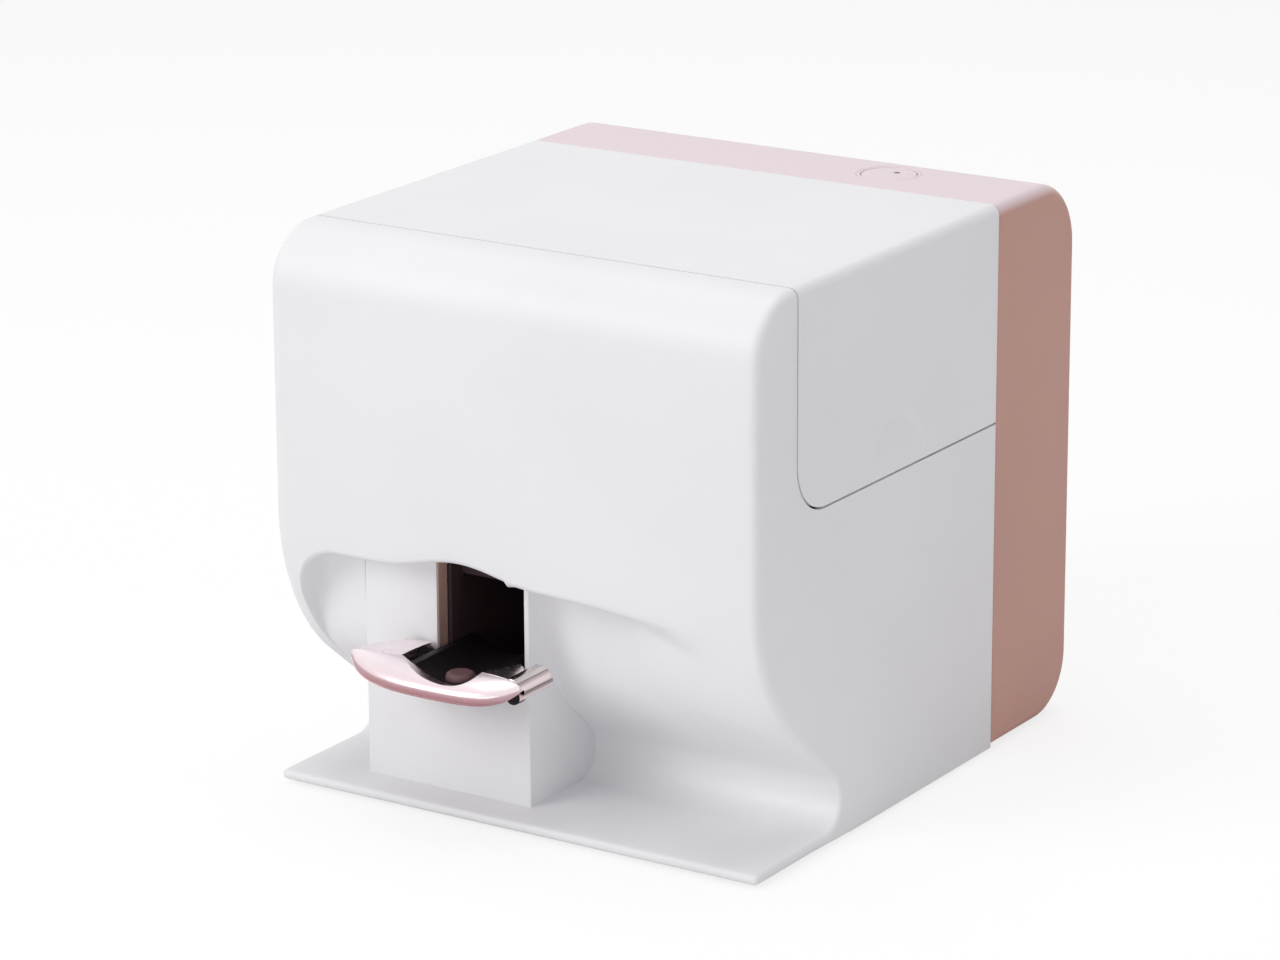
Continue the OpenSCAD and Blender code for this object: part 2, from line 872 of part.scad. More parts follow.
// crescent of the lever: half its outline is a parabola in plan
function lever_front(u) = -lever_reach + (lever_reach - tip_reach) * u * u;
notch_u = notch_w / 2 / lever_half_w;
lever_back_y = block_y - 0.7;
function lever_rear(u) =
    let (s = max(0, (abs(u) - notch_u) / (1 - notch_u)))
    -tip_reach + 0.6 + (lever_back_y + tip_reach - 0.6) * (1 - pow(s, 1.6));
function lever_top(u) =
    abs(u) >= notch_u ? lever_ridge_z :
    notch_z + (lever_ridge_z - notch_z) * pow(u / notch_u, 2);
function lever_under(u) = lever_low_z + 6 * u * u;
// outline of the crescent, cut at u, in side view
function lever_section(u) =
    let (f = lever_front(u), b = lever_rear(u), top = lever_top(u), low = lever_under(u),
         h = top - low, ridge = f + 1 + 5.5 * (1 - u * u), back_top = top - 3.6 * (1 - u * u))
    [[f + 0.28 * (ridge - f) + 1, low], [f + 0.3, low + 0.24 * h], [f, low + 0.5 * h],
     [f + 0.25 * (ridge - f), low + 0.8 * h], [ridge, top],
     [ridge + 0.3 * (b - ridge), top - 0.55 * (top - back_top) - 0.35],
     [ridge + 0.7 * (b - ridge), back_top - 0.1], [b, back_top],
     [b, back_top - 0.5 * (back_top - low)], [f + 0.6 * (b - f), low + 0.12 * h]];

module lever_handle()
{
    n = 28;
    k = 10;
    u_end = 0.985;
    us = [for (i = [0:n]) u_end * sin(90 * (2 * i / n - 1))];
    points = [for (u = us) for (p = lever_section(u)) [port_x + u * lever_half_w, p[0], p[1]]];
    sides = [for (i = [0:n - 1]) for (j = [0:k - 1])
        [i * k + j, i * k + (j + 1) % k, (i + 1) * k + (j + 1) % k, (i + 1) * k + j]];
    caps = concat([[for (j = [k - 1:-1:0]) j]], [[for (j = [0:k - 1]) n * k + j]]);
    color("#e7bfc3")
    front_frame()
    difference() {
        polyhedron(
            points = points,
            faces = concat([for (q = sides) for (m = [1, 2]) [q[0], q[m + 1], q[m]]],
                           [for (c = caps) for (m = [1:k - 2]) [c[0], c[m + 1], c[m]]]),
            convexity = 4);
        block([port_x - notch_w / 2, cradle_front, 30], [port_x + notch_w / 2, 20, 70]);
    }
}

// dark trough that the finger lies in
module finger_cradle()
{
    color("#1f1b1e")
    front_frame()
    difference() {
        union() {
            block([port_x - notch_w / 2, cradle_front, cradle_low],
                  [port_x + notch_w / 2, block_y - 0.7, cradle_rim]);
            block([port_x - cradle_half, block_y - 1, cradle_low],
                  [port_x + cradle_half, cradle_back, cradle_rim]);
        }
        rod_y(port_x, cradle_front - 1, cradle_back + 1, cradle_floor_z + finger_r, finger_r);
        rod_z(port_x, 2, cradle_floor_z - 0.9, cradle_rim, 4.6);
    }
}

module finger_pad()
{
    color("#d99fa4")
    front_frame()
    intersection() {
        rod_z(port_x, 2, cradle_floor_z - 0.9, cradle_rim, 4.5);
        translate([port_x, 2, cradle_floor_z - 6])
            sphere(r = 8, $fn = 64);
    }
}

// sliding carrier under the tunnel, joined to the cradle by a stem
module lever_carrier()
{
    color("#8e9197")
    front_frame()
    difference() {
        union() {
            block([port_x - carrier_half, post_y - 5, carrier_z],
                  [port_x + carrier_half, post_y + 5, carrier_z + carrier_t]);
            block([port_x - 3.6, post_y - 3, carrier_z], [port_x + 3.6, post_y + 3, cradle_low]);
        }
        for (dx = [-post_dx, post_dx])
            rod_z(port_x + dx, post_y, carrier_z - 1, carrier_z + carrier_t + 1, post_r + run_gap);
    }
}

module lever_guide_posts()
{
    color("#d5d8dc")
    front_frame()
    union() {
        block([port_x - carrier_half, post_y - 5, plate_z], [port_x + carrier_half, post_y + 5, plate_z + 2]);
        for (dx = [-post_dx, post_dx])
            rod_z(port_x + dx, post_y, plate_z + 1, port_z - tunnel_t - 0.4, post_r);
    }
}

// one coil spring round each guide post: a single unbroken tube on a helix, with six sides
spring_wire_r = 0.45;
spring_r = post_r + 1.3;
spring_turns = 6;
spring_low = plate_z + 2 + spring_wire_r + 0.1;
spring_high = carrier_z - spring_wire_r - 0.1;
echo(spring_gap = (spring_high - spring_low) / spring_turns - 2 * spring_wire_r);
module coil_spring()
{
    rings = 12 * spring_turns;
    rise = spring_high - spring_low;
    lean = atan2(rise / spring_turns, 2 * PI * spring_r);
    points = [for (i = [0:rings]) for (s = [0:5])
        let (a = 360 * spring_turns * i / rings,
             out = spring_wire_r * cos(60 * s),
             up = spring_wire_r * sin(60 * s))
        [(spring_r + out) * cos(a) + up * sin(lean) * sin(a),
         (spring_r + out) * sin(a) - up * sin(lean) * cos(a),
         spring_low + rise * i / rings + up * cos(lean)]];
    sides = [for (i = [0:rings - 1]) for (s = [0:5])
        [6 * i + s, 6 * i + (s + 1) % 6, 6 * i + 6 + (s + 1) % 6, 6 * i + 6 + s]];
    polyhedron(
        points = points,
        faces = concat([for (q = sides) for (m = [1, 2]) [q[0], q[m], q[m + 1]]],
                       [for (m = [1:4]) [0, m + 1, m]],
                       [for (m = [1:4]) [6 * rings, 6 * rings + m, 6 * rings + m + 1]]),
        convexity = 12);
}

module lever_springs()
{
    color("#c9ccd2")
    front_frame()
    for (dx = [-post_dx, post_dx])
        translate([port_x + dx, post_y, 0])
            coil_spring();
}

// ---- ink service parts ----

module waste_ink_pad()
{
    color("#cfcabd")
    front_frame()
    block([0, nozzle_y + 16, chassis_top], [plate_x - 8, nozzle_y + 60, chassis_top + 16]);
}

cap_half = [8, 6];
module capping_station()
{
    shell_x = cap_half[0] + 3;
    shell_y = cap_half[1] + 3;
    color("#8e9197")
    front_frame()
    translate([park_x, nozzle_y, 0])
    difference() {
        union() {
            block([-shell_x, -shell_y, chassis_top], [shell_x, shell_y, cap_top - 8]);
            block([-shell_x - 6, -4, chassis_top], [-shell_x + 1, 4, cap_top - 12]);
        }
        block([-cap_half[0] - fit_gap, -cap_half[1] - fit_gap, cap_top - 22],
              [cap_half[0] + fit_gap, cap_half[1] + fit_gap, cap_top]);
    }
}

module wiper_blade()
{
    color("#2b2c30")
    front_frame()
    translate([park_x - cap_half[0] - 6.5, nozzle_y, 0])
    union() {
        block([-1.5, -4, cap_top - 12], [1.5, 4, cap_top - 8]);
        block([-0.4, -4, cap_top - 8.5], [0.4, 4, cap_top]);
    }
}

// sprung cap that seals the nozzles at rest; it gives way downwards
module cap_sled()
{
    color("#26272b")
    front_frame()
    translate([park_x, nozzle_y, 0])
    difference() {
        union() {
            block([-cap_half[0], -cap_half[1], cap_top - 17], [cap_half[0], cap_half[1], cap_top - 3]);
            block([-6.5, -5, cap_top - 3.5], [6.5, 5, cap_top]);
        }
        block([-5.3, -3.8, cap_top - 2.5], [5.3, 3.8, cap_top + 1]);
    }
}

// ---- lift-off cover ----

switch_rib_y = rear_tab_y - 10;
switch_top = y_rod_z + 12;
module cover_switch()
{
    color("#2b2c30")
    front_frame()
    union() {
        block([plate_x - sheet_t - 6, switch_rib_y - 12, switch_top - 8],
              [plate_x - sheet_t, switch_rib_y + 4, switch_top]);
        rod_z(plate_x - sheet_t - 3, switch_rib_y, switch_top - 1, switch_top + 3, 1);
    }
}

keeper_x = plate_x - 18;
// steel posts on the bridge, one under each magnet of the cover
module cover_keepers()
{
    color("#c9ccd2")
    front_frame()
    for (x = [-keeper_x, keeper_x])
        rod_z(x, camera_y, bridge_z + sheet_t, top_in - 9.3, 4);
}

module cover_magnets()
{
    color("#9da1a8")
    front_frame()
    for (x = [-keeper_x, keeper_x])
        rod_z(x, camera_y, top_in - 9, top_in - 6, 4);
}

module top_cover()
{
    color("#f2f2f4")
    front_frame()
    difference() {
        side_extrude(-body_w / 2, body_w / 2)
            intersection() {
                body_outline();
                offset(delta = -seam_gap)
                    cover_region();
            }
        difference() {
            side_extrude(-side_in, side_in)
                offset(delta = -wall)
                    body_outline();
            for (x = [-keeper_x, keeper_x])
                rod_z(x, camera_y, top_in - 9, top_in + 1, 5.5);
            // rib that presses the interlock switch
            block([plate_x - sheet_t - 5, switch_rib_y - 1.5, switch_top + 3.1],
                  [side_in + 1, switch_rib_y + 1.5, switch_top + 12]);
        }
        for (x = [-keeper_x, keeper_x])
            rod_z(x, camera_y, top_in - 10, top_in - 6, 4);
        // finger dimples, open at the lower seam
        for (x = [-1, 1])
            translate([x * (body_w / 2 - dimple_depth + dimple_sphere_r), (cover_y + seam_y) / 2,
                       cover_z + 2.2])
                sphere(r = dimple_sphere_r, $fn = 96);
    }
}

// ---- gantry ----

module gantry_frame()
{
    plate = [gantry_y, gantry_y + 2];
    color("#a9adb4")
    front_frame()
    difference() {
        union() {
            block([-gantry_hx, plate[0], x_rod_z[0] - 8], [gantry_hx, plate[1], x_rod_z[1] + 10]);
            block([screw_x - 7.5, plate[0], screw_z - 9], [screw_x + 9.5, plate[1], x_rod_z[0] - 7]);
            for (x = [-gantry_hx, gantry_hx - bracket_t])
                block([x, x_rod_y - 6, x_rod_z[0] - 8], [x + bracket_t, plate[1], x_rod_z[1] + 10]);
            for (s = [-1, 1]) {
                rod_y(s * y_rod_x, x_rod_y - 10, gantry_y + 4, y_rod_z, bushing_r + 1.6);
                block([min(s * gantry_hx, s * (y_rod_x - 2)), x_rod_y - 10, y_rod_z - 5],
                      [max(s * gantry_hx, s * (y_rod_x - 2)), gantry_y + 4, y_rod_z + 5]);
            }
        }
        for (s = [-1, 1])
            rod_y(s * y_rod_x, x_rod_y - 11, gantry_y + 5, y_rod_z, bushing_r);
        for (z = x_rod_z)
            rod_x(-gantry_hx - 1, gantry_hx + 1, x_rod_y, z, rod_r);
        rod_y(drive_x, gantry_y - 1, gantry_y + 3, belt_z, 5);
        rod_y(idler_x, gantry_y - 1, gantry_y + 3, belt_z, axle_r);
        rod_y(screw_x, gantry_y - 1, gantry_y + 3, screw_z, 5);
    }
}

module gantry_bushings()
{
    color("#c9a24a")
    front_frame()
    for (x = [-y_rod_x, y_rod_x])
        for (y = [x_rod_y - 10, gantry_y - 4])
            difference() {
                rod_y(x, y, y + 8, y_rod_z, bushing_r);
                rod_y(x, y - 1, y + 9, y_rod_z, rod_r + run_gap);
            }
}

module x_guide_rods()
{
    color("#d5d8dc")
    front_frame()
    for (z = x_rod_z)
        rod_x(-gantry_hx, gantry_hx, x_rod_y, z, rod_r);
}

module x_motor()
{
    color("#3c3e44")
    front_frame()
    difference() {
        block([drive_x - motor_w / 2, gantry_y + 2, belt_z - motor_w / 2],
              [drive_x + motor_w / 2, gantry_y + 24, belt_z + motor_w / 2]);
        rod_y(drive_x, gantry_y + 1, gantry_y + 9, belt_z, shaft_r + run_gap);
    }
}

// outline of a belt loop of radius r round both pulleys
module belt_loop(r, y0, y1)
    union() {
        rod_y(drive_x, y0, y1, belt_z, r);
        rod_y(idler_x, y0, y1, belt_z, r);
        block([drive_x, y0, belt_z - r], [idler_x, y1, belt_z + r]);
    }

module x_belt()
{
    color("#2b2c30")
    front_frame()
    difference() {
        belt_loop(pulley_r + belt_gap + belt_t, belt_y, belt_y + belt_w);
        belt_loop(pulley_r + belt_gap, belt_y - 1, belt_y + belt_w + 1);
    }
}

module idler_axle()
{
    color("#d5d8dc")
    front_frame()
    union() {
        rod_y(idler_x, belt_y - 1.5, gantry_y + 2.5, belt_z, axle_r);
        rod_y(idler_x, belt_y - 2.5, belt_y - 1.4, belt_z, axle_r + 1.5);
    }
}

module drive_pulley()
{
    color("#b4b8be")
    front_frame()
    union() {
        rod_y(drive_x, belt_y - 1, belt_y + belt_w + 1, belt_z, pulley_r);
        rod_y(drive_x, belt_y - 2, gantry_y + 7, belt_z, shaft_r);
    }
}

module idler_pulley()
{
    color("#b4b8be")
    front_frame()
    difference() {
        rod_y(idler_x, belt_y - 1, belt_y + belt_w + 1, belt_z, pulley_r);
        rod_y(idler_x, belt_y - 2, belt_y + belt_w + 2, belt_z, axle_r + run_gap);
    }
}

// ---- carriage ----

module carriage_body()
{
    x0 = park_x - carriage_w / 2;
    x1 = park_x + carriage_w / 2;
    basket_y = cartridge_y - fit_gap - 1.5;
    housing_r = bushing_r + 1.2;
    clamp_low = belt_z - pulley_r - belt_gap - belt_t;
    color("#3a3c42")
    front_frame()
    difference() {
        union() {
            // back web and rod housings
            block([x0, web_y, carriage_floor_z], [x1, web_y + 3, web_top]);
            for (z = x_rod_z) {
                rod_x(x0, x1, x_rod_y, z, housing_r);
                block([x0, web_y + 1, z - 5], [x1, x_rod_y, z + 5]);
            }
            // open basket for the cartridge
            block([x0, basket_y, carriage_floor_z], [x1, web_y + 3, carriage_floor_z + 2]);
            block([x0, basket_y, carriage_floor_z], [x1, basket_y + 1.5, carriage_floor_z + 14]);
            for (x = [x0, x1 - 1.4])
                block([x, basket_y, carriage_floor_z], [x + 1.4, web_y + 3, carriage_floor_z + 30]);
            // belt clamp
            block([park_x - 6, web_y + 2, clamp_low - 1.6],
                  [park_x + 4, belt_y + belt_w + 2, clamp_low + belt_t + 1.4]);
            // ears for the latch pin
            for (x = [park_x - 13, park_x + 11])
                hull() {
                    rod_x(x, x + 2, latch_y, latch_z, 3);
                    block([x, web_y, web_top - 4], [x + 2, web_y + 3, web_top - 1]);
                }
        }
        for (z = x_rod_z)
            rod_x(x0 - 1, x1 + 1, x_rod_y, z, bushing_r);
        block([park_x - 9.5, nozzle_y - 6.5, carriage_floor_z - 1],
              [park_x + 9.5, nozzle_y + 6.5, carriage_floor_z + 3]);
        block([x0 - 1, belt_y - 0.15, clamp_low - 0.15],
              [x1 + 1, belt_y + belt_w + 0.15, clamp_low + belt_t + 0.15]);
        block([park_x - 12, web_y - 1, carriage_floor_z + 6],
              [park_x + 12, web_y + 0.8, carriage_floor_z + 26]);
        rod_x(x0, x1, latch_y, latch_z, latch_pin_r);
    }
}

module carriage_bushings()
{
    color("#c9a24a")
    front_frame()
    for (z = x_rod_z)
        for (x = [park_x - carriage_w / 2, park_x + carriage_w / 2 - 10])
            difference() {
                rod_x(x, x + 10, x_rod_y, z, bushing_r);
                rod_x(x - 1, x + 11, x_rod_y, z, rod_r + run_gap);
            }
}

module contact_board()
{
    color("#c58a3a")
    front_frame()
    block([park_x - 12, web_y, carriage_floor_z + 6], [park_x + 12, web_y + 0.8, carriage_floor_z + 26]);
}

// cartridge with its snout and nozzle plate
module ink_cartridge()
{
    floor_z = carriage_floor_z + 2;
    color("#232429")
    front_frame()
    union() {
        block([park_x - cartridge_w / 2, cartridge_y, floor_z + fit_gap],
              [park_x + cartridge_w / 2, cartridge_y + cartridge_d, cartridge_top]);
        block([park_x - 9, nozzle_y - 6, nozzle_z + 0.5], [park_x + 9, nozzle_y + 6, floor_z + 1]);
        block([park_x - 7, nozzle_y - 5, nozzle_z], [park_x + 7, nozzle_y + 5, nozzle_z + 1]);
    }
}

// latch that holds the cartridge down, with its hinge pin
module cartridge_latch()
{
    color("#4f8fb8")
    front_frame()
    union() {
        difference() {
            union() {
                rod_x(park_x - 10.7, park_x + 10.7, latch_y, latch_z, 2.4);
                block([park_x - 9, cartridge_y + 12, cartridge_top + 0.3],
                      [park_x + 9, latch_y, cartridge_top + 2.1]);
                block([park_x - 9, cartridge_y + 12, cartridge_top + 0.3],
                      [park_x + 9, cartridge_y + 13.5, cartridge_top + 4]);
            }
            rod_x(park_x - 12, park_x + 12, latch_y, latch_z, latch_pin_r - 0.1);
        }
        rod_x(park_x - 13, park_x + 13, latch_y, latch_z, latch_pin_r - run_gap);
    }
}

front_housing();
port_block();
rear_cover();
base_pan();
rubber_feet();
base_screws();
rear_screws();
chassis_plate();
left_side_plate();
right_side_plate();
y_guide_rods();
camera_bridge();
camera_module();
camera_lens();
light_board();
light_emitters();
motor_mount();
y_motor();
screw_bearing();
main_board();
board_chips();
driver_heatsink();
radio_module();
board_standoffs();
dc_inlet();
switch_board();
tact_switch();
button_ring();
finger_tunnel();
lever_guide_posts();
lever_springs();
waste_ink_pad();
capping_station();
wiper_blade();
cover_switch();
cover_keepers();
top_cover();
cover_magnets();
power_button();
status_lamp();
lever_handle();
finger_cradle();
finger_pad();
lever_carrier();
gantry_frame();
x_guide_rods();
gantry_bushings();
x_motor();
x_belt();
idler_axle();
screw_nut();
lead_screw();
drive_pulley();
idler_pulley();
carriage_body();
carriage_bushings();
contact_board();
ink_cartridge();
cartridge_latch();
cap_sled();
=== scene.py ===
"""Looks of a desktop nail printer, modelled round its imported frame.

The file is laid out as an add-on and is run as a script. Lengths are in metres, in the frame of the
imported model: +Z up, +Y from the front to the rear, the origin in the middle of the footprint.
Where a comment says depth, it is measured from the flat front face of the casing.
"""

import json
from math import acos, atan2, cos, degrees, hypot, pi, radians, sin, sqrt, tan

import bmesh
import bpy
from bpy.props import FloatProperty, FloatVectorProperty, PointerProperty
from mathutils import Matrix, Vector

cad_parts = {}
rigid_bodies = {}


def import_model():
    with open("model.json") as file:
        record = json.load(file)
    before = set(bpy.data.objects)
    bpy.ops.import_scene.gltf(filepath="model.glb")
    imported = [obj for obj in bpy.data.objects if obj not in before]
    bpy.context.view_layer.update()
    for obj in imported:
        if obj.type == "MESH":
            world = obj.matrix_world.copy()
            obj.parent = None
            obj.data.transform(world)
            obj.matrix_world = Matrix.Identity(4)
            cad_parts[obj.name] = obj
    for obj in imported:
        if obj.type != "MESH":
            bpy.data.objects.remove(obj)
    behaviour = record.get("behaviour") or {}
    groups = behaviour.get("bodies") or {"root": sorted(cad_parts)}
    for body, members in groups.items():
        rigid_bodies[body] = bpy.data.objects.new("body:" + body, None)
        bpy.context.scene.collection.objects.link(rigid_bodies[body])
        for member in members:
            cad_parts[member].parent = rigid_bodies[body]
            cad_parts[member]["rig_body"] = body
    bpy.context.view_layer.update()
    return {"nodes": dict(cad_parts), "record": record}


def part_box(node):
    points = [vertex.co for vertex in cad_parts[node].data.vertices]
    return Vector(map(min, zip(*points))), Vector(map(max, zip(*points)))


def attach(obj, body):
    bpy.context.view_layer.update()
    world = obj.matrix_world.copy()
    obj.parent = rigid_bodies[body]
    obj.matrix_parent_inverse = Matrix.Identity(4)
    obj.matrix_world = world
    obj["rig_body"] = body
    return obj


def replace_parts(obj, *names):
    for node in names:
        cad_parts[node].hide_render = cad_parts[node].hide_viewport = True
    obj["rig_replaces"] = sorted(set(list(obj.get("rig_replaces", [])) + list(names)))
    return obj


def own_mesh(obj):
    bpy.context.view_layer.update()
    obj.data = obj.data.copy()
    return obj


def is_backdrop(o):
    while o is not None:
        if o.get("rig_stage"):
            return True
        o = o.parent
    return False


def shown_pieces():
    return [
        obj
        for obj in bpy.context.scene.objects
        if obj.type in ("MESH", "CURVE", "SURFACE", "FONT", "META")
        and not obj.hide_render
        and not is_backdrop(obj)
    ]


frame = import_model()

bl_info = {
    "name": "Nail printer",
    "version": (1, 0, 0),
    "blender": (4, 5, 0),
    "location": "3D View > Sidebar > Nail printer",
    "description": "Builds the shells, the lever and the works of a desktop nail printer",
    "category": "Object",
}

# ---- places taken from the frame ----

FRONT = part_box("front_housing")[0].y
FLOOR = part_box("front_housing")[0].z
HALF_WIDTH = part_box("front_housing")[1].x
SEAM_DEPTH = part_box("front_housing")[1].y - FRONT
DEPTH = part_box("rear_cover")[1].y - FRONT
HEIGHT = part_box("rear_cover")[1].z
REAR_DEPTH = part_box("rear_cover")[0].y - FRONT
PAN_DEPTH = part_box("base_pan")[0].y - FRONT
SLOTS = {part["node"]: part["material_slot"] for part in frame["record"]["subparts"]}
SCREW_HEAD, SCREW_HOLE, INLET_HOLE = 0.0029, 0.0032, 0.0052  # radii


def place(x, depth, z):
    """A point of the frame from its distance behind the casing's flat front face."""
    return Vector((x, FRONT + depth, z))


def middle(node):
    """Centre of a node's box."""
    low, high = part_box(node)
    return (low + high) / 2


# ---- settings ----


def length(name, description, default):
    return FloatProperty(name=name, description=description, default=default, min=0.0, max=1.0,
                         precision=5, subtype="DISTANCE", unit="LENGTH")


def offset(name, description, default):
    return FloatProperty(name=name, description=description, default=default, min=-1.0, max=1.0,
                         precision=5, subtype="DISTANCE", unit="LENGTH")


def color(name, description, default):
    return FloatVectorProperty(name=name, description=description, default=default, size=3,
                               min=0.0, max=1.0, subtype="COLOR")


class CasingSizes(bpy.types.PropertyGroup):
    """Sizes of the casing's shells."""

    shell: length("Shell", "Thickness of the moulded shells", 0.0022)
    edge: length("Side edges", "Radius of the edges along both sides", 0.003)
    plate_edge: length("Plate edge", "Radius of the edges of the base plate", 0.0013)
    seam: length("Seam rounding", "Rounding of the shells along their seams", 0.0005)
    gap: length("Seam gap", "Gap between the shells at the seams", 0.0007)
    front_top: length("Front top", "Radius of the edge between front and top", 0.018)
    rear_top: length("Rear top", "Radius of the edge between rear and top", 0.021)
    rear_bottom: length("Rear bottom", "Radius of the rear's lower edge", 0.018)
    plate: length("Base plate", "Thickness of the base plate in front", 0.003)
    curve_top: length("Curve top", "Height where the flat front starts to curve in", 0.084)
    curve: length("Curve", "Radius of the inward curve of the front", 0.062)
    fillet_depth: length("Fillet depth", "Depth of the centre of the fillet over the plate", 0.0375)
    fillet: length("Fillet", "Radius of the fillet over the base plate", 0.0088)
    dimple: length("Dimple", "Radius of the finger dimple in the cover", 0.0145)
    dimple_rim: length("Dimple rim", "Width of the dimple's sloping rim", 0.0026)
    dimple_depth: length("Dimple depth", "Depth of the finger dimple in the cover", 0.0011)
    cover_corner: length("Cover corner", "Radius of the cover's lower front corner", 0.0147)


class RecessSizes(bpy.types.PropertyGroup):
    """Sizes of the hand recess under the brow."""

    depth: length("Depth", "Depth of the recess under the brow", 0.022)
    left_depth: length("Left depth", "Depth of the recess left of the port block", 0.0126)
    curve: length("Curve", "Radius where the recess runs down to the base plate", 0.04)
    top: length("Top", "Height where the recess starts to curve out", 0.058)
    brow: length("Brow", "Height of the lower edge of the flat front", 0.0736)
    rise: length("Rise", "Extra height of the brow over the port", 0.0042)
    rise_width: length("Rise width", "Width of the raised part of the brow", 0.054)
    rim: length("Rim", "Width of the rim left of the recess", 0.005)
    corner: length("Corner", "Radius of the top left corner", 0.016)
    wall: length("Wall", "Width of the rounded wall on the left", 0.006)
    lip: length("Lip", "Rounding of the brow's edge", 0.0022)
    ceiling: length("Ceiling", "Rounding between the ceiling and the back of the recess", 0.005)
    blend: length("Blend", "Hollow rounding beside the port block", 0.008)


class LeverSizes(bpy.types.PropertyGroup):
    """Sizes of the finger lever."""

    half_width: length("Half width", "Half width of the crescent", 0.0293)
    shift: offset("Shift", "How far the crescent sits to the right of the port's centre", -0.0024)
    arm: length("Arm", "Distance of the outer side of both arms from the port's centre", 0.0266)
    reach: length("Reach", "How far the crescent stands out in front", 0.016)
    tip_reach: length("Tip reach", "How far its tips stand out in front", 0.0080)
    ridge_depth: offset("Ridge depth", "Depth of the ridge; less than zero is in front", -0.0074)
    tip_back: offset("Tip back", "Depth of the back of the tips", -0.0046)
    ridge: length("Ridge", "Height of the ridge", 0.0506)
    low: length("Underside", "Height of the underside in the middle", 0.0420)
    notch: length("Notch", "Width of the finger notch", 0.027)
    notch_slope: length("Notch slope", "Fall of the notch towards the rear, as a share of its run", 0.364)


class FinishColors(bpy.types.PropertyGroup):
    """Colours of the finishes that show from outside."""

    white: color("White", "Front shell and cover", (0.86, 0.86, 0.885))
    pink: color("Pink", "Rear cover and button", (0.60, 0.345, 0.285))
    # Painted sheen: paler pink given to the rear cover where it lies flat on top.
    painted_top_sheen: color("Pale pink", "Rear cover where it lies flat on top", (0.79, 0.66, 0.705))
    rose: color("Rose", "Plating of the lever", (0.94, 0.85, 0.88))
    dark: color("Dark", "Inside of the finger port", (0.012, 0.009, 0.011))
    # Painted shade: the pad's colour is kept darker than its own pink.
    pad: color("Pad", "Soft pad under the finger", (0.16, 0.08, 0.09))


def watts(name, description, default):
    return FloatProperty(name=name, description=description, default=default, min=0.0, unit="POWER")


class StudioSettings(bpy.types.PropertyGroup):
    """The floor, the lamps and the camera."""

    room: FloatProperty(name="Room light", description="Strength of the even light", default=0.40, min=0.0)
    front_left: watts("Front left lamp", "Power of the large lamp at the front left", 13.6)
    front: watts("Front lamp", "Power of the low lamp in front", 2.4)
    top: watts("Top lamp", "Power of the lamp overhead", 10.2)
    right: watts("Right lamp", "Power of the lamp at the right", 2.9)
    lens: FloatProperty(name="Lens", description="Focal length", default=138.59, min=1.0, unit="CAMERA")


def settings():
    return bpy.context.scene.nail_printer


class PrinterSettings(bpy.types.PropertyGroup):
    """All settings of the model."""

    casing: PointerProperty(type=CasingSizes)
    recess: PointerProperty(type=RecessSizes)
    lever: PointerProperty(type=LeverSizes)
    colors: PointerProperty(type=FinishColors)
    studio: PointerProperty(type=StudioSettings)


# ---- materials ----


class Value:
    """A number in a material. Sums and products on it add the Math nodes that work them out."""

    def __init__(self, finish, socket):
        self.finish = finish
        self.socket = socket

    def __add__(self, other):
        return self.finish.maths("ADD", self, other)

    def __sub__(self, other):
        return self.finish.maths("SUBTRACT", self, other)

    def __rsub__(self, other):
        return self.finish.maths("SUBTRACT", other, self)

    def __mul__(self, other):
        return self.finish.maths("MULTIPLY", self, other)

    __radd__ = __add__
    __rmul__ = __mul__


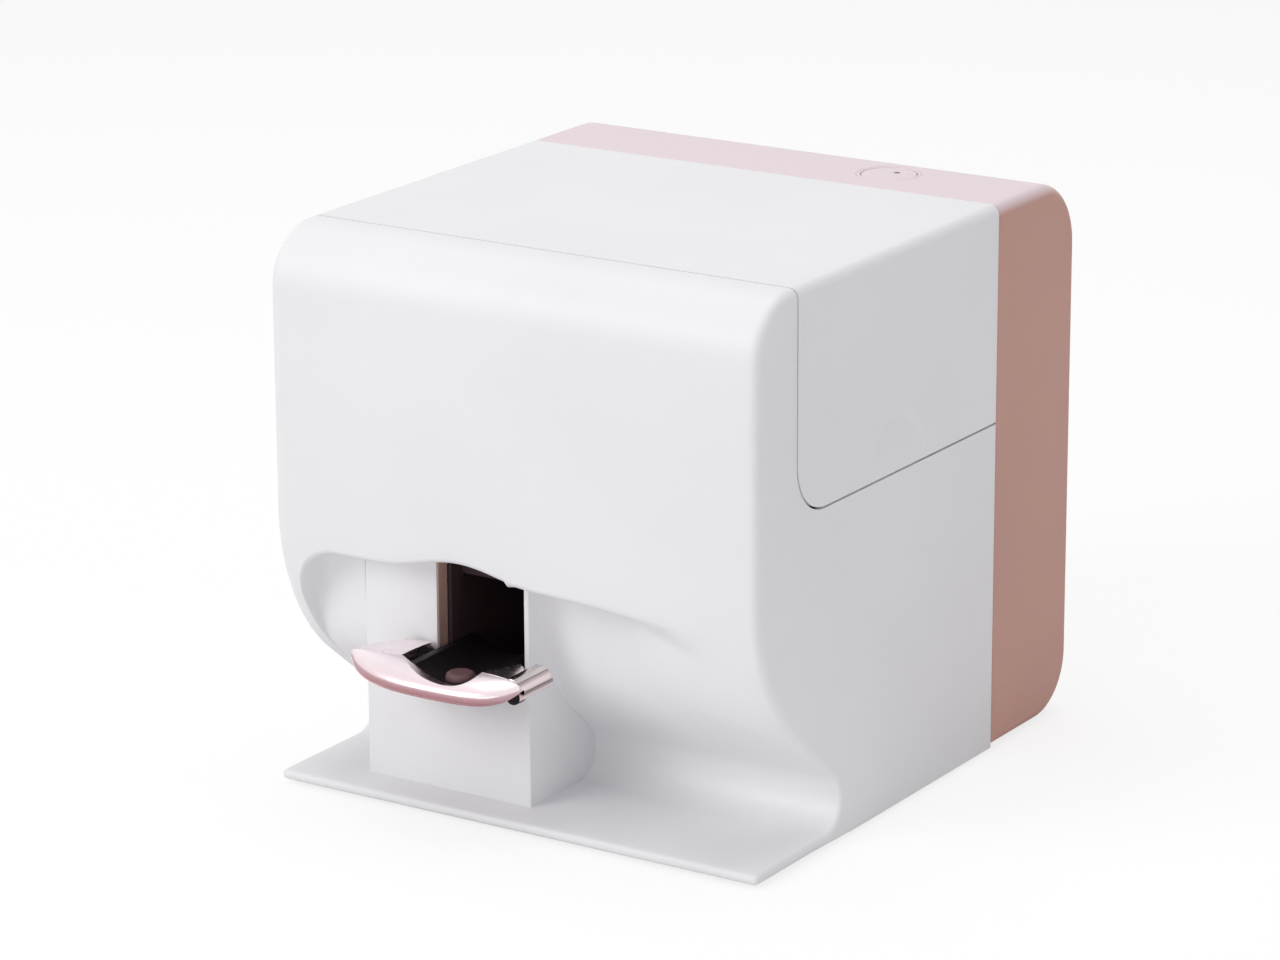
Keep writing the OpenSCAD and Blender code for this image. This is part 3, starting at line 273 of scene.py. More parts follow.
class Finish:
    """A material under construction: a Principled shader and what feeds it."""

    def __init__(self, name, base, roughness, **constants):
        self.material = bpy.data.materials.new(f"{name}_finish")
        self.material.use_nodes = True
        self.tree = self.material.node_tree
        self.shader = self.tree.nodes["Principled BSDF"]
        self.base = base
        self.shader.inputs["Base Color"].default_value = (*base[:3], 1.0)
        self.shader.inputs["Roughness"].default_value = roughness
        for name, value in constants.items():
            self.shader.inputs[name.replace("_", " ")].default_value = value
        self.place = self.node("ShaderNodeTexCoord", output="Object")

    def node(self, kind, values=None, output=0, **options):
        """Adds a node, sets its options first and then its sockets, and returns one output."""
        node = self.tree.nodes.new(kind)
        for name, value in options.items():
            setattr(node, name, value)
        for name, value in (values or {}).items():
            self.feed(node.inputs[name], value)
        return Value(self, node.outputs[output])

    def feed(self, socket, value):
        if isinstance(value, Value):
            self.tree.links.new(value.socket, socket)
        else:
            socket.default_value = value

    def maths(self, operation, *values):
        return self.node("ShaderNodeMath", dict(enumerate(values)), operation=operation)

    def noise(self, scale, detail=2.0, place=None, distortion=0.0):
        return self.node("ShaderNodeTexNoise", {"Vector": place or self.place, "Scale": scale,
                                                "Detail": detail, "Distortion": distortion})

    def cells(self, scale, feature="F1", output="Distance"):
        return self.node("ShaderNodeTexVoronoi", {"Vector": self.place, "Scale": scale},
                         feature=feature, output=output)

    def stretched(self, x, y, z):
        """The object's coordinates stretched along its axes, for brushed or woven grain."""
        return self.node("ShaderNodeMapping", {"Vector": self.place, "Scale": (x, y, z)})

    def range(self, value, low, high, to_low=0.0, to_high=1.0):
        return self.node("ShaderNodeMapRange", {"Value": value, "From Min": low, "From Max": high,
                                                "To Min": to_low, "To Max": to_high})

    def mixed(self, factor, first, second):
        """A colour between two colours."""
        first, second = ((*c, 1.0) if isinstance(c, tuple) else c for c in (first, second))
        return self.node("ShaderNodeMix", {0: factor, 6: first, 7: second}, output=2, data_type="RGBA")

    def shade(self, amount):
        """The base colour, darker or lighter by a share."""
        return tuple(min(1.0, c * (1 + amount)) for c in self.base[:3])

    def set(self, name, value):
        self.feed(self.shader.inputs[name], value)
        return self

    def bump(self, height, distance, strength=1.0):
        normal = self.node("ShaderNodeBump", {"Height": height, "Distance": distance,
                                              "Strength": strength})
        return self.set("Normal", normal)

    def look(self, colors, roughness, bump=None):
        """Feeds the base colour (share, first, second), the roughness and the bump (height,
        distance, strength)."""
        self.set("Base Color", self.mixed(*colors))
        self.set("Roughness", roughness)
        return self.bump(*bump) if bump else self

    def height(self):
        """Height in the frame."""
        return self.node("ShaderNodeSeparateXYZ", {"Vector": self.place}, output="Z")

    def drift(self):
        """Slow change of tone over the object."""
        return self.range(self.noise(14.0, 3.0), 0.35, 0.65)

    def stripe(self, height, middle, reach, core):
        """1 at a height and 0 farther than reach from it."""
        return self.range(self.maths("ABSOLUTE", height - middle), reach, core)


def moulded(name, base, roughness, grain=0.00003, **constants):
    """Injection-moulded plastic: faint spark-eroded grain, slow drift of tone and gloss."""
    finish = Finish(name, base, roughness, **constants)
    fine = finish.noise(2600.0, 3.0)
    smudges = finish.noise(55.0, 4.0, distortion=0.6)
    return finish.look((finish.drift(), finish.shade(-0.018), finish.shade(0.012)),
                       roughness + (smudges - 0.5) * 0.10 + (fine - 0.5) * 0.05,
                       (fine * 0.7 + finish.noise(700.0, 2.0) * 0.5, grain, 0.35))


def white_shell():
    return moulded("white_shell", settings().colors.white, 0.48)


def inner_white():
    return moulded("inner_white", (0.72, 0.72, 0.74), 0.5)


def pink_shell():
    """Rose lacquer down the sides and at the back; where it lies flat on top its colour is painted paler,
    a painted sheen.
    """
    finish = moulded("pink_shell", settings().colors.pink, 0.36)
    side = finish.mixed(finish.drift(), finish.shade(-0.03), finish.shade(0.03))
    # Painted sheen: the flat top is mixed to a paler pink.
    flat = finish.range(finish.height(), 0.1645, 0.1676)
    return finish.set("Base Color", finish.mixed(flat, side, tuple(settings().colors.painted_top_sheen)))


def port_film():
    """Tinted film round the finger port, rubbed along its edges."""
    finish = Finish("port_film", (0.66, 0.43, 0.36), 0.42)
    brushed = finish.noise(70.0, 4.0, place=finish.stretched(1.0, 18.0, 1.0))
    return finish.look((finish.noise(120.0, 3.0), finish.shade(-0.14), finish.shade(0.10)),
                       0.34 + brushed * 0.16, (brushed, 0.00004, 0.5))


def dark_plastic():
    return moulded("dark_plastic", settings().colors.dark, 0.48, 0.00006, Specular_IOR_Level=0.2)


def tunnel_wall():
    return moulded("tunnel_wall", (0.06, 0.036, 0.041), 0.5, 0.00006, Specular_IOR_Level=0.2)


def grey_plastic():
    return moulded("grey_plastic", (0.30, 0.31, 0.33), 0.48, 0.00006)


def latch_blue():
    return moulded("latch_blue", (0.09, 0.27, 0.45), 0.38)


def chip_black():
    return moulded("chip_black", (0.022, 0.022, 0.026), 0.55, 0.00008)


def painted_shade_arm_metal():
    """The lever's plating on the arms, with painted light and shade: a greyer band along the top, light
    pink below it and dark stripes along the grooves.
    """
    finish = Finish("painted_shade_arm_metal", settings().colors.rose, 0.2, Metallic=1.0)
    height = finish.height()
    haze = finish.noise(160.0, 3.0)
    # Painted shade and highlight: greyer above the upper groove, light pink below it, dark stripes at both
    # grooves.
    above = finish.range(height, 0.0478, 0.0488)
    upper = finish.stripe(height, 0.0482, 0.0007, 0.0001)
    lower = finish.stripe(height, 0.0458, 0.0009, 0.0002)
    tint = finish.mixed(above, (0.97, 0.84, 0.84), (0.82, 0.77, 0.73))
    tint = finish.mixed(upper * 0.6, tint, (0.22, 0.16, 0.15))
    tint = finish.mixed(lower * 0.85, tint, (0.16, 0.11, 0.11))
    return finish.look((haze * 0.2, tint, finish.shade(0.0)), 0.18 + haze * 0.1)


def rose_metal():
    """Rose-tinted chrome plating over a polished moulding, with faint waves and hairlines; its colour is
    painted paler towards the top and darker rose towards the lower edge, as painted reflection.
    """
    finish = Finish("rose_metal", settings().colors.rose, 0.24, Metallic=1.0)
    height = finish.height()
    hairlines = finish.noise(60.0, 3.0, place=finish.stretched(1.0, 26.0, 26.0))
    haze = finish.noise(160.0, 3.0)
    # Painted reflection: darker rose along the lower edge, paler towards the top.
    painted_low_band = finish.range(height + haze * 0.0004, 0.0456, 0.0434)
    upper = finish.range(height + haze * 0.0006, 0.0450, 0.0500)
    face = finish.mixed(upper, (0.78, 0.60, 0.64), finish.shade(0.0))
    return finish.look((painted_low_band, face, (0.72, 0.44, 0.46)), 0.20 + haze * 0.08 + hairlines * 0.05,
                       (finish.noise(45.0, 1.0) * 0.8 + hairlines * 0.06, 0.00012, 0.25))


def pink_pad():
    """Soft silicone with a bloom of fine dust and a grip texture; its colour is kept darker than its own
    pink, as painted shade.
    """
    finish = Finish("pink_pad", settings().colors.pad, 0.62, Subsurface_Weight=0.15,
                    Subsurface_Radius=(0.002, 0.001, 0.001), Subsurface_Scale=0.5)
    bloom = finish.noise(320.0, 4.0)
    return finish.look((bloom, finish.shade(-0.10), finish.shade(0.10)), 0.5 + bloom * 0.2,
                       (finish.cells(900.0), 0.0001, 0.35))


def black_rubber():
    """Rubber with dust in its grain."""
    finish = Finish("black_rubber", (0.03, 0.03, 0.032), 0.75)
    dust = finish.noise(260.0, 5.0)
    return finish.look((finish.range(dust, 0.45, 0.8), (0.022, 0.022, 0.024), (0.075, 0.072, 0.068)),
                       0.62 + dust * 0.25, (finish.noise(1800.0, 3.0), 0.00008, 0.5))


def rolled(name, base, roughness, stretch):
    """Sheet or rod with a rolling or grinding direction, and a few handling stains."""
    finish = Finish(name, base, roughness, Metallic=1.0)
    lines = finish.noise(90.0, 4.0, place=finish.stretched(*stretch))
    stains = finish.noise(38.0, 4.0, distortion=0.8)
    return finish.look((lines * 0.6 + stains * 0.4, finish.shade(-0.16), finish.shade(0.12)),
                       roughness - 0.08 + lines * 0.10 + stains * 0.10, (lines, 0.00002, 0.6))


def steel_sheet():
    """Zinc-plated sheet: faint spangle over the rolling grain."""
    finish = rolled("steel_sheet", (0.60, 0.61, 0.64), 0.38, (1.0, 12.0, 1.0))
    spangle = finish.cells(170.0, output="Color")
    level = finish.node("ShaderNodeSeparateColor", {"Color": spangle})
    return finish.set("Roughness", 0.30 + level * 0.14 + finish.noise(40.0, 3.0) * 0.10)


def steel_rod():
    return rolled("steel_rod", (0.68, 0.69, 0.71), 0.2, (14.0, 14.0, 14.0))


def screw_steel():
    return rolled("screw_steel", (0.42, 0.43, 0.46), 0.34, (6.0, 6.0, 6.0))


def brass():
    return rolled("brass", (0.72, 0.52, 0.22), 0.28, (10.0, 2.0, 10.0))


def gold_contacts():
    """Flexible contact board: amber film with rows of gold pads."""
    white, black = (1.0, 1.0, 1.0, 1.0), (0.0, 0.0, 0.0, 1.0)
    finish = Finish("gold_contacts", (0.35, 0.15, 0.03), 0.38)
    upright = finish.node("ShaderNodeMapping", {"Vector": finish.place, "Rotation": (pi / 2, 0.0, 0.0)})
    rows = finish.node("ShaderNodeTexBrick", {
        "Vector": upright, "Scale": 340.0, "Mortar Size": 0.09, "Brick Width": 0.9, "Row Height": 0.75,
        "Color1": white, "Color2": white, "Mortar": black})
    finish.set("Metallic", rows)
    return finish.look((rows, (0.30, 0.12, 0.03), (0.86, 0.62, 0.25)),
                       0.5 - rows * 0.22 + finish.noise(200.0) * 0.08, (rows, 0.00005, 0.5))


def cast_alloy():
    """Die-cast alloy: fine pitted skin."""
    finish = Finish("cast_alloy", (0.52, 0.53, 0.55), 0.45, Metallic=1.0)
    pits = finish.noise(900.0, 4.0)
    cloud = finish.noise(45.0, 4.0)
    return finish.look((cloud, finish.shade(-0.12), finish.shade(0.10)),
                       0.36 + pits * 0.14 + cloud * 0.08, (pits, 0.00006, 0.6))


def motor_black():
    """Baked enamel over a drawn can."""
    finish = Finish("motor_black", (0.035, 0.035, 0.04), 0.35, Coat_Weight=0.3, Coat_Roughness=0.2)
    peel = finish.noise(420.0, 2.0)
    rubs = finish.range(finish.noise(90.0, 6.0, distortion=1.0), 0.66, 0.8)
    return finish.look((rubs, (0.03, 0.03, 0.034), (0.16, 0.16, 0.17)), 0.3 + peel * 0.16,
                       (peel, 0.00006, 0.5))


def circuit_green():
    """Solder resist over copper tracks, with bare pads."""
    finish = Finish("circuit_green", (0.012, 0.10, 0.045), 0.32, Coat_Weight=0.4, Coat_Roughness=0.12)
    copper = finish.range(finish.cells(150.0, feature="DISTANCE_TO_EDGE"), 0.10, 0.13)
    pads = finish.range(finish.cells(260.0), 0.16, 0.13)
    resist = finish.mixed(copper, (0.018, 0.15, 0.07), (0.010, 0.075, 0.035))
    finish.set("Metallic", pads)
    return finish.look((pads, resist, (0.70, 0.66, 0.52)), 0.3 + finish.noise(300.0) * 0.12,
                       (copper * -1.0, 0.00004, 0.5))


def lens_glass():
    """Coated lens: nearly black with a violet sheen."""
    finish = Finish("lens_glass", (0.010, 0.012, 0.03), 0.05, Coat_Weight=1.0, Coat_Roughness=0.02)
    film = finish.noise(240.0, 2.0)
    return finish.look((film, (0.006, 0.008, 0.02), (0.03, 0.012, 0.06)), 0.03 + film * 0.05)


def lamp_white():
    """Lamp body under a yellowish layer of phosphor."""
    finish = Finish("lamp_white", (0.85, 0.82, 0.55), 0.4)
    phosphor = finish.noise(700.0, 2.0)
    return finish.look((phosphor, (0.86, 0.80, 0.42), (0.90, 0.88, 0.72)), 0.3 + phosphor * 0.2)


def felt():
    """Pressed felt with ink that has soaked in."""
    finish = Finish("felt", (0.62, 0.60, 0.54), 0.95, Sheen_Weight=0.3)
    fibres = finish.noise(1100.0, 5.0, distortion=1.4)
    stain = finish.range(finish.noise(42.0, 3.0, distortion=0.5), 0.56, 0.72)
    cloth = finish.mixed(fibres, (0.48, 0.46, 0.41), (0.72, 0.70, 0.64))
    return finish.look((stain, cloth, (0.23, 0.07, 0.16)), 0.85 + fibres * 0.1, (fibres, 0.0004, 0.8))


FINISHES = (white_shell, inner_white, pink_shell, port_film, dark_plastic, tunnel_wall, grey_plastic,
            latch_blue, chip_black, rose_metal, painted_shade_arm_metal, pink_pad, black_rubber, steel_sheet,
            steel_rod, screw_steel, brass, gold_contacts, cast_alloy, motor_black, circuit_green,
            lens_glass, lamp_white, felt)


def material(slot):
    """The material of a slot, made once."""
    made = bpy.data.materials.get(f"{slot}_finish")
    if made:
        return made
    maker = {maker.__name__: maker for maker in FINISHES}[slot]
    return maker().material


# ---- mesh helpers ----


def raw(name, data):
    """An object in the scene with its mesh, lamp or camera."""
    obj = bpy.data.objects.new(name, data)
    bpy.context.scene.collection.objects.link(obj)
    return obj


def solid(name, bm):
    """An object from a bmesh, which is used up."""
    mesh = bpy.data.meshes.new(name)
    bm.to_mesh(mesh)
    bm.free()
    return raw(name, mesh)


def loft(bm, columns, closed=False, keep=None):
    """Quads between neighbouring columns of points; keep says which cells get one."""
    rows = [[bm.verts.new(point) for point in column] for column in columns]
    count = len(rows[0])
    for i in range(len(rows) - (0 if closed else 1)):
        here, there = rows[i], rows[(i + 1) % len(rows)]
        for j in range(count - 1):
            if keep is None or keep(i, j):
                bm.faces.new((here[j], there[j], there[j + 1], here[j + 1]))
    return rows


def baked(obj):
    """Replaces the object's mesh by what its modifiers make of it."""
    graph = bpy.context.evaluated_depsgraph_get()
    mesh = bpy.data.meshes.new_from_object(obj.evaluated_get(graph))
    obj.modifiers.clear()
    obj.data = mesh
    return obj


def modified(obj, kind, **options):
    modifier = obj.modifiers.new(kind.lower(), kind)
    for name, value in options.items():
        setattr(modifier, name, value)
    return modifier


def cut(obj, *cutters):
    """Takes the cutters' solids out of an object and deletes the cutters."""
    for cutter in cutters:
        modified(obj, "BOOLEAN", object=cutter, operation="DIFFERENCE", solver="MANIFOLD")
    baked(obj)
    for cutter in cutters:
        bpy.data.objects.remove(cutter)
    return obj


def smooth(obj, angle=32.0):
    """Smooth shading with sharp edges past an angle."""
    mesh = obj.data
    for name in ("custom_normal", "sharp_edge"):
        if name in mesh.attributes:
            mesh.attributes.remove(mesh.attributes[name])
    mesh.polygons.foreach_set("use_smooth", [True] * len(mesh.polygons))
    mesh.set_sharp_from_angle(angle=radians(angle))
    return obj


def bevelled(obj, width, segments, angle):
    """Rounds the edges that are sharper than an angle."""
    modified(obj, "BEVEL", width=width, segments=segments, limit_method="ANGLE",
             angle_limit=radians(angle), use_clamp_overlap=True)
    return baked(obj)


def softened(name, bm, width=0.0002, segments=2, angle=30.0):
    """An object from a bmesh with its sharp edges broken."""
    return smooth(bevelled(solid(name, bm), width, segments, angle))


def dressed(obj, body, slot, *replaced, look=None):
    """Gives a piece the material of its slot or look, its body and the nodes that it stands for."""
    obj.data.materials.clear()
    obj.data.materials.append(material(look or slot))
    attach(obj, body)
    if replaced:
        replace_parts(obj, *replaced)
    return obj


def body_of(node):
    return frame["nodes"][node]["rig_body"]


def merged(node):
    """A copy of a node's mesh with its loose triangles joined and its flat faces whole."""
    bm = bmesh.new()
    bm.from_mesh(frame["nodes"][node].data)
    bmesh.ops.remove_doubles(bm, verts=bm.verts, dist=2e-6)
    bmesh.ops.dissolve_limit(bm, angle_limit=radians(0.5), verts=bm.verts, edges=bm.edges)
    return bm


def machined(node, width=0.0003, segments=2, look=None):
    """A node with its sharp edges broken, in its own finish."""
    obj = softened(f"{node}_look", merged(node), width, segments, 40.0)
    return dressed(obj, body_of(node), SLOTS[node], node, look=look)


# ---- geometry nodes ----


class Recipe:
    """A Geometry Nodes tree with named inputs, used as a modifier."""

    def __init__(self, name):
        self.tree = bpy.data.node_groups.new(name, "GeometryNodeTree")
        self.tree.is_modifier = True
        self.tree.interface.new_socket("Geometry", in_out="OUTPUT", socket_type="NodeSocketGeometry")
        self.identifiers = {}
        self.source = self.tree.nodes.new("NodeGroupInput")
        self.result = self.tree.nodes.new("NodeGroupOutput")

    def input(self, name, kind):
        item = self.tree.interface.new_socket(name, in_out="INPUT", socket_type=f"NodeSocket{kind}")
        self.identifiers[name] = item.identifier
        return self.source.outputs[name]

    def node(self, kind, values=None, output=0, **options):
        node = self.tree.nodes.new(kind)
        for name, value in options.items():
            setattr(node, name, value)
        for name, value in (values or {}).items():
            if isinstance(value, bpy.types.NodeSocket):
                self.tree.links.new(value, node.inputs[name])
            else:
                node.inputs[name].default_value = value
        return node.outputs[output]

    def finish(self, geometry):
        real = self.node("GeometryNodeRealizeInstances", {"Geometry": geometry})
        painted = self.node("GeometryNodeSetMaterial", {"Geometry": real,
                                                        "Material": self.input("Material", "Material")})
        self.tree.links.new(painted, self.result.inputs["Geometry"])

    def applied(self, obj, slot, **values):
        """Runs the tree on an object and keeps the plain mesh that it makes."""
        modifier = obj.modifiers.new(self.tree.name, "NODES")
        modifier.node_group = self.tree
        for name, value in {**values, "Material": material(slot)}.items():
            modifier[self.identifiers[name]] = value
        return baked(obj)


def recipe(name, build):
    """A tree that is built once and used for several pieces."""
    if name not in RECIPES:
        RECIPES[name] = Recipe(name)
        build(RECIPES[name])
    return RECIPES[name]


RECIPES = {}


def build_grid_of_copies(tree):
    """Copies of the object's own mesh in a grid of three counts and three steps."""
    geometry = tree.input("Geometry", "Geometry")
    points = tree.node("GeometryNodeMeshLine", {"Count": 1, "Start Location": (0.0, 0.0, 0.0)})
    for axis in "XYZ":
        count = tree.input(f"Count {axis}", "Int")
        step = tree.input(f"Step {axis}", "Vector")
        line = tree.node("GeometryNodeMeshLine", {"Count": count, "Start Location": (0.0, 0.0, 0.0),
                                                  "Offset": step})
        spread = tree.node("GeometryNodeInstanceOnPoints", {"Points": points, "Instance": line})
        points = tree.node("GeometryNodeRealizeInstances", {"Geometry": spread})
    copies = tree.node("GeometryNodeInstanceOnPoints", {"Points": points, "Instance": geometry})
    tree.finish(copies)


def grid_of_copies(obj, slot, x=(1, (0, 0, 0)), y=(1, (0, 0, 0)), z=(1, (0, 0, 0))):
    tree = recipe("grid_of_copies", build_grid_of_copies)
    values = {}
    for axis, (count, step) in zip("XYZ", (x, y, z)):
        values[f"Count {axis}"] = count
        values[f"Step {axis}"] = step
    return tree.applied(obj, slot, **values)


def build_ring_of_copies(tree):
    """Copies of the object's own mesh turned about an axis along Y through a centre."""
    geometry = tree.input("Geometry", "Geometry")
    count = tree.input("Count", "Int")
    centre = tree.input("Centre", "Vector")
    points = tree.node("GeometryNodeMeshLine", {"Count": count, "Offset": (0.0, 0.0, 0.0),
                                                "Start Location": centre})
    index = tree.node("GeometryNodeInputIndex")
    turn = tree.node("ShaderNodeMath", {0: index, 1: count}, operation="DIVIDE")
    angle = tree.node("ShaderNodeMath", {0: turn, 1: 2 * pi}, operation="MULTIPLY")
    rotation = tree.node("ShaderNodeCombineXYZ", {"Y": angle})
    back = tree.node("ShaderNodeVectorMath", {0: centre, "Scale": -1.0}, operation="SCALE")
    centred = tree.node("GeometryNodeTransform", {"Geometry": geometry, "Translation": back})
    copies = tree.node("GeometryNodeInstanceOnPoints", {"Points": points, "Instance": centred,
                                                        "Rotation": rotation})
    tree.finish(copies)


def ring_of_copies(obj, slot, count, centre):
    tree = recipe("ring_of_copies", build_ring_of_copies)
    return tree.applied(obj, slot, Count=count, Centre=centre)


def build_coil(tree):
    """A round wire wound on a helix that stands on Z and is then turned and moved."""
    helix = tree.node("GeometryNodeCurveSpiral", {
        "Resolution": 32, "Rotations": tree.input("Turns", "Float"),
        "Start Radius": tree.input("Radius", "Float"), "End Radius": tree.source.outputs["Radius"],
        "Height": tree.input("Height", "Float")})
    wire = tree.node("GeometryNodeCurvePrimitiveCircle", {"Resolution": 10,
                                                          "Radius": tree.input("Wire", "Float")})
    coil = tree.node("GeometryNodeCurveToMesh", {"Curve": helix, "Profile Curve": wire,
                                                 "Fill Caps": True})
    moved = tree.node("GeometryNodeTransform", {"Geometry": coil,
                                                "Translation": tree.input("Foot", "Vector"),
                                                "Rotation": tree.input("Turn", "Vector")})
    tree.finish(tree.node("GeometryNodeSetShadeSmooth", {"Geometry": moved}))


def wound(name, slot, radius, wire, turns, height, foot, turn=(0.0, 0.0, 0.0)):
    """An object whose mesh is a coil."""
    obj = raw(name, bpy.data.meshes.new(name))
    return recipe("coil", build_coil).applied(obj, slot, Turns=turns, Radius=radius, Height=height,
                                              Wire=wire, Foot=foot, Turn=turn)


def turned(bm, profile, spot, axis="Z", steps=32):
    """Adds a lathed solid; the profile's points are (radius, distance along the axis)."""
    rows = []
    for i in range(steps):
        c, n = cos(2 * pi * i / steps), sin(2 * pi * i / steps)
        if axis == "Z":
            rows.append([spot + Vector((r * c, r * n, h)) for r, h in profile])
        else:
            rows.append([spot + Vector((r * c, h, r * n)) for r, h in profile])
    loft(bm, rows, closed=True)
    bmesh.ops.remove_doubles(bm, verts=bm.verts, dist=1e-6)
    bmesh.ops.recalc_face_normals(bm, faces=bm.faces)


def cuboid(bm, low, high):
    """Adds a box between two corners."""
    low, high = Vector(low), Vector(high)
    bmesh.ops.create_cube(bm, size=1.0, matrix=Matrix.LocRotScale((low + high) / 2, None, high - low))


# ---- casing outline ----


def along(first, last, count, start=1):
    """Numbers from first to last in equal steps, without the first unless start is 0."""
    return [first + (last - first) * i / count for i in range(start, count + 1)]


def eased(t):
    """A smooth step from 0 to 1."""
    t = min(1.0, max(0.0, t))
    return t * t * (3 - 2 * t)


def arc(centre, radius, start, end, count, edge, hollow=False):
    """Stations of the outline on an arc: depth, height, outward normal and side edge radius."""
    side = -1.0 if hollow else 1.0
    stations = []
    for angle in along(start, end, count, 0):
        c, s = cos(radians(angle)), sin(radians(angle))
        stations.append((centre[0] + radius * c, centre[1] + radius * s, side * c, side * s, edge))
    return stations


def straight(start, end, count, normal, edge):
    """Stations on a straight run, without its first point."""
    return [(start[0] + (end[0] - start[0]) * t, start[1] + (end[1] - start[1]) * t, *normal, edge)
            for t in along(0.0, 1.0, count)]


class FrontCurve:
    """The casing's front in side view: base plate, fillet, inward curve and flat front."""

    def __init__(self, sizes):
        self.sizes = sizes
        self.plate_top = FLOOR + sizes.plate
        self.fillet_centre = (sizes.fillet_depth, self.plate_top + sizes.fillet)
        run = sizes.curve - sizes.fillet_depth
        rise = sizes.curve_top - self.fillet_centre[1]
        self.lean = atan2(rise, run) - acos((sizes.curve + sizes.fillet) / hypot(run, rise))
        self.line_top = sizes.curve_top - sizes.curve * sin(self.lean)

    def at(self, z):
        """Depth and outward normal at a height above the fillet."""
        s = self.sizes
        if z >= s.curve_top:
            return 0.0, -1.0, 0.0
        if z >= self.line_top:
            depth = s.curve - sqrt(s.curve ** 2 - (s.curve_top - z) ** 2)
            return depth, (depth - s.curve) / s.curve, (z - s.curve_top) / s.curve
        depth = s.curve * (1 - cos(self.lean)) + (self.line_top - z) * tan(self.lean)
        return depth, -cos(self.lean), -sin(self.lean)


class Recess:
    """The hand recess: how deep it is and where its upper edge runs."""

    def __init__(self, curve, sizes):
        self.front = curve
        self.sizes = sizes
        block_low, block_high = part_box("port_block")
        self.block = (block_low.x, block_high.x)
        self.port_x = middle("finger_tunnel").x
        self.left = -HALF_WIDTH + sizes.rim
        self.right = HALF_WIDTH - sizes.rim
        self.line_z = sizes.top - sizes.curve * sin(curve.lean)

    def deep(self, z):
        """Depth where the recess is deepest."""
        s = self.sizes
        if z >= s.top:
            return s.depth
        if z >= self.line_z:
            return s.depth + s.curve - sqrt(s.curve ** 2 - (s.top - z) ** 2)
        lean = self.front.lean
        return s.depth + s.curve * (1 - cos(lean)) + (self.line_z - z) * tan(lean)

    def floor(self, x, z):
        """Depth of the recess at x; left of the block it is level with the block's front."""
        overlap, soft, ahead = 0.0009, 0.004, 0.0006
        if x >= self.block[0] + overlap:
            return self.deep(z)
        plain, level = self.front.at(z)[0], self.sizes.left_depth
        return (plain + level + sqrt((plain - level) ** 2 + soft ** 2) - ahead) / 2

    def share(self, x):
        """How much of its full depth the recess has."""
        s = self.sizes
        if x < self.left + s.wall:
            return sqrt(max(0.0, 1 - (1 - (x - self.left) / s.wall) ** 2))
        if x < self.block[1]:
            return 1.0
        fade = cos(pi / 2 * min(1.0, (x - self.block[1]) / (self.right - self.block[1]))) ** 2
        beside = min(0.0, x - self.block[1] - s.blend)
        hollow = s.blend - sqrt(s.blend ** 2 - beside ** 2)
        return fade * (1 - hollow / s.depth)

    def brow(self, x):
        """Height of the recess's upper edge."""
        s = self.sizes
        x = max(x, self.left)
        corner = x - self.left - s.corner
        if corner < 0:
            return s.brow - s.corner + sqrt(max(0.0, s.corner ** 2 - corner ** 2))
        bump = abs(x - self.port_x) / (s.rise_width / 2)
        return s.brow + (s.rise * cos(pi / 2 * bump) ** 2 if bump < 1 else 0.0)


# Heights between which the recess goes from level with the plain front to its own depth.
RAMP_LOW, RAMP_HIGH = 0.014, 0.032

# How far under the brow the plain front's stretches start that the recess turns into the rounding of
# its ceiling, the ceiling and the lip.
ROUNDING_START, CEILING_START, LIP_START = 0.016, 0.011, 0.003


